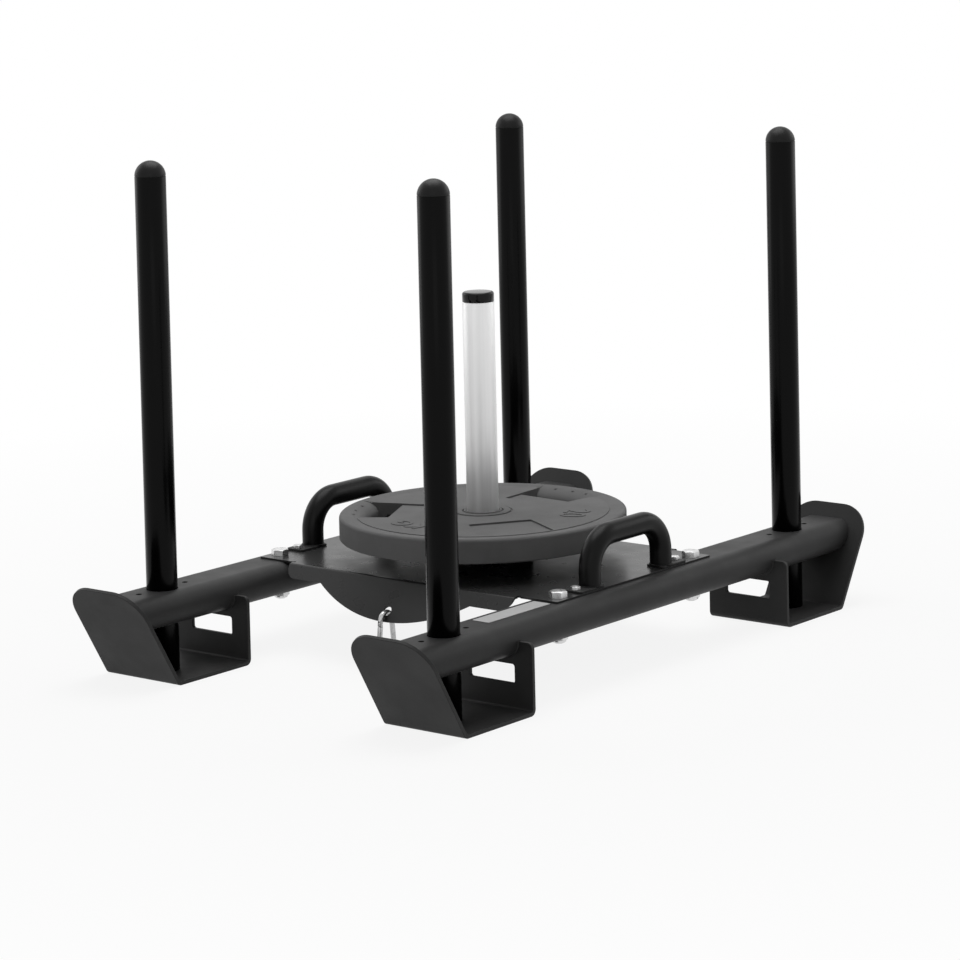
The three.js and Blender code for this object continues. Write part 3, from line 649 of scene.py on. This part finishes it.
# hexagon bolts and nuts; lengths of a bolt run from the face that it sits on
hexSet = {"sides": 72, "rimShare": 0.95, "chamfer": 25}
deckBoltSet = {
    "y": 167, "hex": 24, "head": 10, "shank": 8, "shankSides": 40, "tip": 1.2, "overlap": 1,
    "edge": 0.3,
}
deckNutSet = {
    "height": 14, "hexHeight": 10.5, "boltTail": 1.5, "edge": 0.2, "sides": 48,
    "collar": 10.8, "collarTip": 9.6, "collarCone": 1.5, "collarBore": 8.3, "overlap": 1,
}
footBoltSet = {
    "y": 125, "hex": 13, "head": 5.3, "shank": 4, "shankSides": 24, "depth": 20, "overlap": 1,
    "flange": 0.5, "flangeInset": 0.2, "flangeSides": 40, "flangeLap": 0.2, "edge": 0.2,
}


# hexagon whose outer corners are turned off by a cone
def hexagonHead(acrossFlats, low, high, lowChamfer=False, x=0, y=0):
    sides = hexSet["sides"]
    rim = acrossFlats / 2 * hexSet["rimShare"]
    slope = math.tan(math.radians(hexSet["chamfer"]))
    sixth = math.pi / 3
    angles = [2 * math.pi * i / sides for i in range(sides)]
    reaches = [acrossFlats / 2 / math.cos((angle + sixth / 2) % sixth - sixth / 2)
               for angle in angles]
    loops = [[(reach, low) for reach in reaches]]
    if lowChamfer:
        loops = [[(rim, low)] * sides, [(reach, low + (reach - rim) * slope) for reach in reaches]]
    loops += [[(reach, high - (reach - rim) * slope) for reach in reaches], [(rim, high)] * sides]
    points = [(x + reach * math.cos(angle), y + reach * math.sin(angle), z)
              for loop in loops for angle, (reach, z) in zip(angles, loop)]
    return points, bridged(len(loops), sides)


def addDeckBolt(corner, sideX, end):
    b, n = deckBoltSet, deckNutSet
    x, y = sideX * railX, end * b["y"]
    under = railSet["underside"]
    tail = under - n["height"] - n["boltTail"]
    neck = deckTop + b["overlap"]
    shank = turned([(0, tail), (b["shank"] - b["tip"], tail), (b["shank"], tail + b["tip"]),
                    (b["shank"], neck), (0, neck)], b["shankSides"], x, y)
    head = hexagonHead(b["hex"], deckTop, deckTop + b["head"], x=x, y=y)
    bolt = makePiece(f"deck_bolt_{corner}_hex", [head, shank])
    finishPiece(bolt, brightSteel, "frame", f"deck_bolt_{corner}", b["edge"])
    hexLow, low = under - n["hexHeight"], under - n["height"]
    joint = hexLow + n["overlap"]
    collar = turned([(n["collarBore"], joint), (n["collar"], joint),
                     (n["collar"], low + n["collarCone"]), (n["collarTip"], low),
                     (n["collarBore"], low), (n["collarBore"], joint)], n["sides"], x, y)
    hexagon = hexagonHead(b["hex"], hexLow, under, lowChamfer=True, x=x, y=y)
    nut = makePiece(f"deck_nut_{corner}_hex", [hexagon, collar])
    finishPiece(nut, brightSteel, "frame", f"deck_nut_{corner}", n["edge"])


for corner, (sideX, end) in cornerNames.items():
    addDeckBolt(corner, sideX, end)
print("deck bolts made")


# bearer cross under the plate
bearerSet = {
    "width": 70, "height": 35, "wall": 3, "reach": 72, "round": 6, "roundSteps": 8, "edge": 0.4,
}


def addBearer(name, angle, start):
    b = bearerSet
    middle = deckTop + b["height"] / 2
    outer = boxPoints(b["width"], b["height"], b["round"], b["roundSteps"])
    inner = boxPoints(b["width"] - 2 * b["wall"], b["height"] - 2 * b["wall"],
                      b["round"] - b["wall"], b["roundSteps"])
    arm = shifted(hollowExtruded(outer, inner, start, b["reach"], alongY), 0, 0, middle)
    bearer = makePiece(f"{name}_tube", [turnedRound(arm, math.radians(angle))])
    finishPiece(bearer, framePaint, "frame", name, b["edge"])


addBearer("bearer_main", 0, -bearerSet["reach"])
addBearer("bearer_half_left", 90, bearerSet["width"] / 2 + gap)
addBearer("bearer_half_right", -90, bearerSet["width"] / 2 + gap)
print("bearers made")


# loading pin and its cap
pinSet = {
    "radius": 25, "height": 402, "foot": 1, "rim": 0.4, "sides": 96,
    "cap": 15.5, "capEdge": 4, "capSteps": 10, "lip": 0.8, "seam": 0.1,
}


def addPin():
    p = pinSet
    top = deckTop + p["height"]
    pin = makePiece("loading_pin_tube", [turned([
        (0, deckTop), (p["radius"] - p["foot"], deckTop), (p["radius"], deckTop + p["foot"]),
        (p["radius"], top - p["rim"]), (p["radius"] - p["rim"], top), (0, top)], p["sides"])])
    finishPiece(pin, chrome, "frame", "loading_pin", smooth=50)
    roundEdge = arcPoints(p["radius"] - p["capEdge"], top + p["cap"] - p["capEdge"], p["capEdge"],
                          0, quarterTurn, p["capSteps"])
    low = top + p["seam"]
    cap = makePiece("pin_cap_moulding", [turned(
        [(0, low), (p["radius"] - p["lip"], low), (p["radius"], top + p["lip"])]
        + roundEdge + [(0, top + p["cap"])], p["sides"])])
    finishPiece(cap, glossCap, "frame", "pin_cap", smooth=50)


addPin()
print("pin made")


# weight plate
plateSet = {
    "radius": 225, "thick": 37.6, "footEdge": 2, "shoulder": 5, "shoulderSteps": 10,
    "rim": 199, "rimSlope": 8, "step": 0.8, "groove": 1.2, "grooveFloor": 0.5, "grooveWall": 0.8,
    "hub": 43.5, "hubGap": 0.15, "hubGroove": 2.2, "hubGrooveOut": 2, "hubGrooveTop": 3,
    "sides": 180, "edge": 0.6,
    "recess": 18, "recessInner": 65, "recessOuter": 178, "recessDraft": 5,
    "panelInset": 96, "panelOuter": 196, "panelHalf": 50, "panelFlare": 6, "panelCorner": 3,
    "panelDeep": 2.8, "panelTurn": -35, "arcSteps": 24, "cornerSteps": 8,
    "gripTurns": {-1: 207, 1: 87}, "gripShift": 10.5, "gripInset": 140, "gripOuter": 186,
    "gripCorner": 2, "barTop": 216, "barDeep": 20, "barInward": 24, "barSteps": 12,
}
nubSet = {
    "radius": 3.2, "sunk": 1.4, "root": 2, "at": 203, "turns": (-12, -3, 7, 16),
    "domeFrom": 0.3, "domeSteps": 6, "sides": 20,
}
figureSet = {"raised": 0.9, "round": 0.2, "at": 147}
hubSet = {
    "bore": 25.4, "boreTop": 1.4, "collar": 30.5, "collarRise": 0.8, "collarWall": 0.2, "rise": 1,
    "groove": 2, "grooveWall": 0.4, "grooveDeep": 2.4, "chamfer": 0.5, "edge": 0.6, "sides": 120,
}
plateRest = deckTop + bearerSet["height"]


# outline along +X whose sides flare outwards
def panelPoints(inset, outer, shift, corner):
    p = plateSet
    flare = math.radians(p["panelFlare"])
    starts, angles = [], []
    for side in (-1, 1):
        half = p["panelHalf"] + (inset - p["panelInset"]) * math.tan(flare)
        start = Vector((inset, shift + side * half))
        run = Vector((math.cos(flare), side * math.sin(flare)))
        nearest = start.dot(run)
        end = start + run * (math.sqrt(nearest ** 2 - start.length_squared + outer ** 2) - nearest)
        starts.append(start)
        angles.append(math.atan2(end.y, end.x))
    arc = arcPoints(0, 0, outer, *angles, p["arcSteps"])
    middle = [(x, y, 0) for x, y in arc[2:-2]]
    corners = [(*starts[0], corner), (*arc[0], corner), *middle,
               (*arc[-1], corner), (*starts[1], corner)]
    return roundedPoints(corners, p["cornerSteps"]), angles


def addPlate():
    p = plateSet
    face = p["thick"] - p["step"]
    groove = face - p["groove"]
    hubGroove = face - p["hubGroove"]
    bore = p["hub"] + p["hubGap"]
    radius = p["radius"]
    shoulder = arcPoints(radius - p["shoulder"], p["thick"] - p["shoulder"], p["shoulder"],
                         0, quarterTurn, p["shoulderSteps"])
    disc = [(bore, 0), (p["recessInner"], 0), (p["recessInner"] + p["recessDraft"], p["recess"]),
            (p["recessOuter"] - p["recessDraft"], p["recess"]), (p["recessOuter"], 0),
            (radius - p["footEdge"], 0), (radius, p["footEdge"]), *shoulder,
            (p["rim"] + p["rimSlope"], p["thick"]), (p["rim"], groove),
            (p["rim"] - p["grooveFloor"], groove), (p["rim"] - p["grooveWall"], face),
            (p["hub"] + p["hubGrooveTop"], face), (p["hub"] + p["hubGrooveOut"], hubGroove),
            (bore, hubGroove), (bore, 0)]
    plate = makePiece("weight_plate_casting", [turned(disc, p["sides"])])
    cuts = []
    for way, turn in {0: p["panelTurn"], **p["gripTurns"]}.items():
        shift = -way * p["gripShift"]
        panel, _ = panelPoints(p["panelInset"], p["panelOuter"], shift, p["panelCorner"])
        shapes = [extruded(panel, face - p["panelDeep"], p["thick"] + beyond, alongZ)]
        if way:
            slot, angles = panelPoints(p["gripInset"], p["gripOuter"], shift, p["gripCorner"])
            shapes += [extruded(slot, -beyond, p["thick"] + beyond, alongZ), gripRound(*angles)]
        cuts += [turnedRound(shape, math.radians(turn)) for shape in shapes]
    cutAway(plate, cuts)
    for vertex in plate.data.vertices:
        vertex.co.z += plateRest * mm
    finishPiece(plate, plateEnamel, "plate", "weight_plate", p["edge"], smooth=24)


# what is taken off above the grip bar, so that its top is round
def gripRound(start, end):
    p = plateSet
    across = p["barTop"] - p["gripOuter"]
    inward = p["gripOuter"] - p["barInward"]
    curve = []
    for i in range(p["barSteps"] + 1):
        t = quarterTurn * i / p["barSteps"]
        curve.append((p["gripOuter"] + across * (1 - math.cos(t)),
                      p["thick"] - p["barDeep"] * (1 - math.sin(t))))
    profile = ([(inward, p["thick"] - p["barDeep"])] + curve
               + [(p["barTop"], p["thick"] + beyond), (inward, p["thick"] + beyond)])
    steps = p["arcSteps"]
    points = []
    for i in range(steps + 1):
        angle = start + (end - start) * i / steps
        points += [(r * math.cos(angle), r * math.sin(angle), z) for r, z in profile]
    faces = bridged(steps + 1, len(profile))
    # the end faces wind the other way round; the triangles of the cut depend on it
    faces[-2:] = [face[::-1] for face in faces[-2:]]
    return points, faces


# small domes along the top of each grip bar
def addNubs():
    p, n = plateSet, nubSet
    share = (n["at"] - p["gripOuter"]) / (p["barTop"] - p["gripOuter"])
    height = p["thick"] - p["barDeep"] * (1 - math.sin(math.acos(1 - share)))
    dome = arcPoints(0, -n["sunk"], n["radius"],
                     quarterTurn * n["domeFrom"], quarterTurn, n["domeSteps"])
    profile = [(0, -n["root"]), *dome[:-1], (0, n["radius"] - n["sunk"])]
    shapes = []
    for way, turn in p["gripTurns"].items():
        for aside in n["turns"]:
            angle = math.radians(turn + way * aside)
            x, y = n["at"] * math.cos(angle), n["at"] * math.sin(angle)
            shapes.append(shifted(turned(profile, n["sides"], x, y), 0, 0, plateRest + height))
    nubs = makePiece("plate_grip_nubs", shapes)
    finishPiece(nubs, plateEnamel, "plate", smooth=60)


# raised figures, read from the rim towards the hub
def addPlateNumber(text, turn, size):
    curve = bpy.data.curves.new("figures", "FONT")
    curve.body = text
    curve.size = size * mm
    curve.extrude = figureSet["raised"] * mm
    curve.bevel_depth = figureSet["round"] * mm
    curve.align_x = "CENTER"
    curve.align_y = "CENTER"
    source = bpy.data.objects.new("figures", curve)
    scene.collection.objects.link(source)
    bpy.context.view_layer.update()
    graph = bpy.context.evaluated_depsgraph_get()
    mesh = bpy.data.meshes.new_from_object(source.evaluated_get(graph))
    bpy.data.objects.remove(source)
    angle = math.radians(turn)
    out = figureSet["at"] * mm
    face = plateRest + plateSet["thick"] - plateSet["step"]
    spot = Matrix.Translation((out * math.cos(angle), out * math.sin(angle), face * mm))
    mesh.transform(spot @ Matrix.Rotation(angle - quarterTurn, 4, "Z"))
    figures = bpy.data.objects.new(f"plate_figures_{text}", mesh)
    scene.collection.objects.link(figures)
    finishPiece(figures, plateEnamel, "plate")


def addHub():
    h = hubSet
    outer = plateSet["hub"]
    top = plateSet["thick"] - plateSet["step"] + h["rise"]
    collarTop = top + h["collarRise"]
    floor = top - h["grooveDeep"]
    grooveOut = h["collar"] + h["groove"]
    profile = [(h["bore"], h["chamfer"]), (h["bore"] + h["chamfer"], 0),
               (outer - h["chamfer"], 0), (outer, h["chamfer"]),
               (outer, top - h["edge"]), (outer - h["edge"], top),
               (grooveOut, top), (grooveOut - h["grooveWall"], floor),
               (h["collar"] + h["collarWall"], floor), (h["collar"], top),
               (h["collar"] - h["grooveWall"], collarTop), (h["bore"] + h["boreTop"], collarTop),
               (h["bore"], top - h["edge"]), (h["bore"], h["chamfer"])]
    hub = makePiece("plate_hub_ring", [shifted(turned(profile, h["sides"]), 0, 0, plateRest)])
    finishPiece(hub, plateEnamel, "plate", "plate_hub", smooth=30)


addPlate()
addNubs()
addHub()
addPlateNumber("20", turn=23, size=58)
addPlateNumber("KG", turn=-100, size=46)
print("plate made")


# upright poles and domed caps
poleSet = {
    "radius": 23.7, "top": 784, "foot": 6, "chamfer": 0.8, "sides": 72, "seam": 0.5,
    "capGap": 0.1, "domeStart": 0.06, "domeSteps": 24,
}


def addPole(corner, sideX, end):
    p = poleSet
    x, y = sideX * railX, end * railSet["poleY"]
    shoulder = p["top"] - p["radius"]
    neck = p["radius"] - p["seam"]
    tube = [(0, p["foot"]), (p["radius"] - p["chamfer"], p["foot"]),
            (p["radius"], p["foot"] + p["chamfer"]), (p["radius"], shoulder - p["seam"]),
            (neck, shoulder), (0, shoulder)]
    pole = makePiece(f"pole_{corner}_tube", [turned(tube, p["sides"], x, y)])
    finishPiece(pole, polePaint, f"pole_{corner}_body", f"pole_{corner}", smooth=50)
    low = shoulder + p["capGap"]
    dome = [(0, low), (neck, low),
            *arcPoints(0, shoulder, p["radius"], p["domeStart"], quarterTurn, p["domeSteps"])[:-1],
            (0, p["top"])]
    cap = makePiece(f"pole_cap_{corner}_dome", [turned(dome, p["sides"], x, y)])
    finishPiece(cap, blackPlastic, f"pole_{corner}_body", f"pole_cap_{corner}", smooth=60)


for corner, (sideX, end) in cornerNames.items():
    addPole(corner, sideX, end)
print("poles made")


# grab handles; a small rippled weld bead runs round each leg
handleSet = {
    "radius": 17, "legY": 89, "rise": 91.5, "bend": 49, "sides": 40, "bendSteps": 20,
    "weld": 1.7, "weldSides": 36, "footThick": 3.5, "footWidth": 34,
    "footHeel": 16, "footToe": 45, "footCorner": 5, "footEdge": 0.6,
}


def addHandle(side, sign):
    h = handleSet
    x = sign * railX
    foot = deckTop + h["footThick"]
    shoulder = deckTop + h["rise"] - h["radius"] - h["bend"]
    bendY = h["legY"] - h["bend"]
    route = ([(-h["legY"], foot)]
             + arcPoints(-bendY, shoulder, h["bend"], math.pi, quarterTurn, h["bendSteps"])
             + arcPoints(bendY, shoulder, h["bend"], quarterTurn, 0, h["bendSteps"])
             + [(h["legY"], foot)])
    tube = swept([(x, u, v) for u, v in route], h["radius"], h["sides"], Vector((1, 0, 0)))
    handle = makePiece(f"handle_{side}_tube", [tube])
    finishPiece(handle, handlePaint, "frame", f"handle_{side}", smooth=50)
    rings = []
    for end in (-1, 1):
        ring = [(x + u, end * h["legY"] + v, foot)
                for u, v in circlePoints(h["radius"], h["weldSides"])]
        rings.append(weldBead(ring, h["weld"], Vector((0, 0, 1)), closed=True))
    welds = makePiece(f"handle_{side}_welds", rings)
    finishPiece(welds, handlePaint, "frame", smooth=80)


def addFoot(corner, sideX, end):
    h = handleSet
    b = footBoltSet
    x = sideX * railX
    middle = end * (h["legY"] + (h["footToe"] - h["footHeel"]) / 2)
    top = deckTop + h["footThick"]
    outline = boxPoints(h["footWidth"], h["footHeel"] + h["footToe"], h["footCorner"])
    sheet = shifted(extruded(outline, deckTop, top, alongZ), x, middle, 0)
    plate = makePiece(f"handle_foot_{corner}_plate", [sheet])
    finishPiece(plate, framePaint, "frame", f"handle_foot_{corner}", h["footEdge"])
    y = end * b["y"]
    low, neck = top - b["depth"], top + b["overlap"]
    shank = turned([(0, low), (b["shank"], low), (b["shank"], neck), (0, neck)],
                   b["shankSides"], x, y)
    rim, brim = b["hex"] / 2 - b["flangeInset"], top + b["flange"]
    flange = turned([(0, top), (rim, top), (rim, brim), (0, brim)], b["flangeSides"], x, y)
    head = hexagonHead(b["hex"], brim - b["flangeLap"], top + b["head"], x=x, y=y)
    bolt = makePiece(f"handle_bolt_{corner}_hex", [head, shank, flange])
    finishPiece(bolt, brightSteel, "frame", f"handle_bolt_{corner}", b["edge"])
    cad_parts[f"rivet_nut_{corner}"].data.materials.clear()
    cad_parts[f"rivet_nut_{corner}"].data.materials.append(brightSteel)


addHandle("left", -1)
addHandle("right", 1)
for corner, (sideX, end) in cornerNames.items():
    addFoot(corner, sideX, end)
print("handles made")


# bare name plate on the right rail
badgeSet = {
    "width": 31.5, "length": 144, "thick": 0.8, "corner": 2, "shift": 5.6, "y": 270, "edge": 0.25,
}


def addBadge():
    b = badgeSet
    outline = boxPoints(b["width"], b["length"], b["corner"])
    film = extruded(outline, railTop, railTop + b["thick"], alongZ)
    badge = makePiece("badge_plate_film", [shifted(film, railX - b["shift"], -b["y"], 0)])
    finishPiece(badge, badgeFilm, "frame", "badge_plate", b["edge"])


addBadge()
print("name plate made")


# snap hook, hung by its narrow bow
hookSet = {
    "wire": 4, "narrow": 13, "wide": 17, "apart": 40, "nose": 5, "gateGap": 0.4, "pivotDown": 4,
    "pivotRise": 4.4, "tongue": 2.6, "tongueLap": 2, "roundLap": 1,
    "pin": 1.2, "pinSides": 20, "edge": 0.2, "bodyEdge": 0.25,
    "sides": 28, "narrowSteps": 28, "wideSteps": 32, "roundSteps": 10, "rootSteps": 12,
}


def addHook():
    h = hookSet
    d = deckSet
    holeLow = d["towDrop"] + d["towHole"] * math.cos(flare)
    restY = -d["fold"] - holeLow * math.tan(flare)
    hookY = restY + d["sheet"] / 2 * math.cos(flare)
    reach = h["narrow"] - h["wire"] - gap
    hookZ = deckTop - holeLow - math.sqrt(reach ** 2 - (hookY - restY) ** 2)
    legLean = math.asin((h["wide"] - h["narrow"]) / h["apart"])
    noseDown = h["apart"] * math.cos(legLean) - h["nose"]
    out = math.pi - legLean
    down = out + quarterTurn

    def onLeg(along):
        return (hookY + h["narrow"] * math.cos(out) + along * math.cos(down),
                hookZ + h["narrow"] * math.sin(out) + along * math.sin(down))

    # about the pivot: u towards the front, v down the leg, w across
    def onFrame(u, v, w):
        y, z = onLeg(h["pivotDown"])
        return (w, y + u * math.cos(out) + v * math.cos(down),
                z + u * math.sin(out) + v * math.sin(down))

    side = Vector((1, 0, 0))
    wire = h["wire"]
    wirePath = ([onLeg(noseDown)]
                + arcPoints(hookY, hookZ - h["apart"], h["wide"],
                            math.pi - legLean, 2 * math.pi + legLean, h["wideSteps"])
                + arcPoints(hookY, hookZ, h["narrow"], legLean, math.pi - legLean, h["narrowSteps"])
                + [onLeg(h["pivotDown"] + wire)])
    bent = swept([(0, y, z) for y, z in wirePath], wire, h["sides"], side)
    body = makePiece("hook_body_wire", [bent])
    slot = h["tongue"] / 2 + gap
    block = [(-wire - beyond, -wire - gap), (wire + beyond, -wire - gap),
             (wire + beyond, wire + beyond), (-wire - beyond, wire + beyond)]
    cuts = [extruded(block, -slot, slot, onFrame)]
    across = wire + h["roundLap"]
    for way in (-1, 1):
        waste = cornerWaste(way * wire, wire, way, 1, wire, beyond, h["roundSteps"])
        cuts.append(extruded(waste, -across, across, onFrame))
    cutAway(body, cuts)
    finishPiece(body, hookSteel, "hook", "hook_body", h["bodyEdge"], smooth=40)

    gateStart = h["pivotDown"] + h["pivotRise"]
    bar = swept([(0, *onLeg(gateStart)), (0, *onLeg(noseDown - h["gateGap"]))],
                wire, h["sides"], side)
    root = wire - gap
    end = h["pivotRise"] + h["tongueLap"]
    outline = arcPoints(0, 0, root, -math.pi, 0, h["rootSteps"]) + [(root, end), (-root, end)]
    tongue = extruded(outline, -h["tongue"] / 2, h["tongue"] / 2, onFrame)
    gate = makePiece("hook_gate_bar", [bar, tongue])
    finishPiece(gate, hookSteel, "gate", "hook_gate", h["edge"], smooth=40)
    rivet = extruded(circlePoints(h["pin"], h["pinSides"]), -wire, wire, onFrame)
    pin = makePiece("gate_pin_rivet", [rivet])
    finishPiece(pin, brightSteel, "hook", "gate_pin", h["edge"], smooth=40)


addHook()
print("hook made")


# floor, light and background
floorSet = {
    "half": 14, "paper": "#f0f0f0", "seenPaper": "#606060", "glow": 0.88,
    "fadeStart": 0.7, "fadeEnd": 2.2,
}
worldStrength = 0.16
lightSet = {
    "topSoftbox": {"spot": (-0.4, 0.3, 3.4), "aim": (0, 0, 0), "size": (2.6, 2.6), "power": 66},
    "leftSoftbox": {"spot": (-3.0, -0.6, 1.6), "aim": (0, 0, 0.3), "size": (1.4, 2.0), "power": 9},
    "backSoftbox": {"spot": (1.6, 3.2, 1.8), "aim": (0, 0, 0.3), "size": (2.4, 1.4), "power": 12},
    "frontFill": {"spot": (2.6, -3.4, 2.0), "aim": (0, 0, 0.3), "size": (1.8, 1.4), "power": 3.5},
}


def addLight(name, spot, aim, size, power):
    data = bpy.data.lights.new(name, "AREA")
    data.shape = "RECTANGLE"
    data.size, data.size_y = size
    data.energy = power
    light = bpy.data.objects.new(name, data)
    scene.collection.objects.link(light)
    light.location = spot
    light.rotation_euler = (Vector(aim) - Vector(spot)).to_track_quat("-Z", "Y").to_euler()


# 1 for what the camera sees, also in a reflection or through glass
def seenDirectly(tree):
    path = addNode(tree, "ShaderNodeLightPath")
    seen = path.outputs["Is Camera Ray"]
    for ray in ("Is Glossy Ray", "Is Transmission Ray"):
        both = addNode(tree, "ShaderNodeMath", {"operation": "MAXIMUM"}, {
            0: seen, 1: path.outputs[ray]})
        seen = both.outputs[0]
    return seen


# pale paper that shows only a faint shadow near the sled and fades into plain white further out
def addFloor():
    f = floorSet
    half = f["half"]
    corners = [(-half, -half, 0), (half, -half, 0), (half, half, 0), (-half, half, 0)]
    mesh = bpy.data.meshes.new("floor")
    mesh.from_pydata(corners, [], [(0, 1, 2, 3)])
    floor = bpy.data.objects.new("floor", mesh)
    scene.collection.objects.link(floor)
    material, tree, place = startMaterial("paleFloor")
    paper = addNode(tree, "ShaderNodeBsdfDiffuse", inputs={"Color": linearColour(f["paper"])})
    shade = addNode(tree, "ShaderNodeBsdfDiffuse", inputs={"Color": linearColour(f["seenPaper"])})
    glow = addNode(tree, "ShaderNodeEmission", inputs={
        "Color": (1, 1, 1, 1), "Strength": f["glow"]})
    seenPaper = addNode(tree, "ShaderNodeAddShader", inputs={
        0: shade.outputs[0], 1: glow.outputs[0]})
    white = addNode(tree, "ShaderNodeEmission", inputs={"Color": (1, 1, 1, 1), "Strength": 1.0})
    length = addNode(tree, "ShaderNodeVectorMath", {"operation": "LENGTH"}, {0: place})
    fade = addNode(tree, "ShaderNodeMapRange", inputs={
        "Value": length.outputs["Value"], "From Min": f["fadeStart"], "From Max": f["fadeEnd"]})
    faded = addNode(tree, "ShaderNodeMixShader", inputs={
        0: fade.outputs["Result"], 1: seenPaper.outputs[0], 2: white.outputs[0]})
    both = addNode(tree, "ShaderNodeMixShader", inputs={
        0: seenDirectly(tree), 1: paper.outputs[0], 2: faded.outputs[0]})
    addNode(tree, "ShaderNodeOutputMaterial", inputs={"Surface": both.outputs[0]})
    mesh.materials.append(material)


def addWorld():
    world = bpy.data.worlds.new("studio")
    scene.world = world
    world.use_nodes = True
    tree = world.node_tree
    tree.nodes.clear()
    soft = addNode(tree, "ShaderNodeBackground", inputs={
        "Color": (1, 1, 1, 1), "Strength": worldStrength})
    white = addNode(tree, "ShaderNodeBackground", inputs={
        "Color": (1, 1, 1, 1), "Strength": 1.0})
    mixed = addNode(tree, "ShaderNodeMixShader", inputs={
        0: seenDirectly(tree), 1: soft.outputs[0], 2: white.outputs[0]})
    addNode(tree, "ShaderNodeOutputWorld", inputs={"Surface": mixed.outputs[0]})


addFloor()
addWorld()
for name, light in lightSet.items():
    addLight(name, **light)
scene.view_settings.view_transform = "Standard"
print("light set")
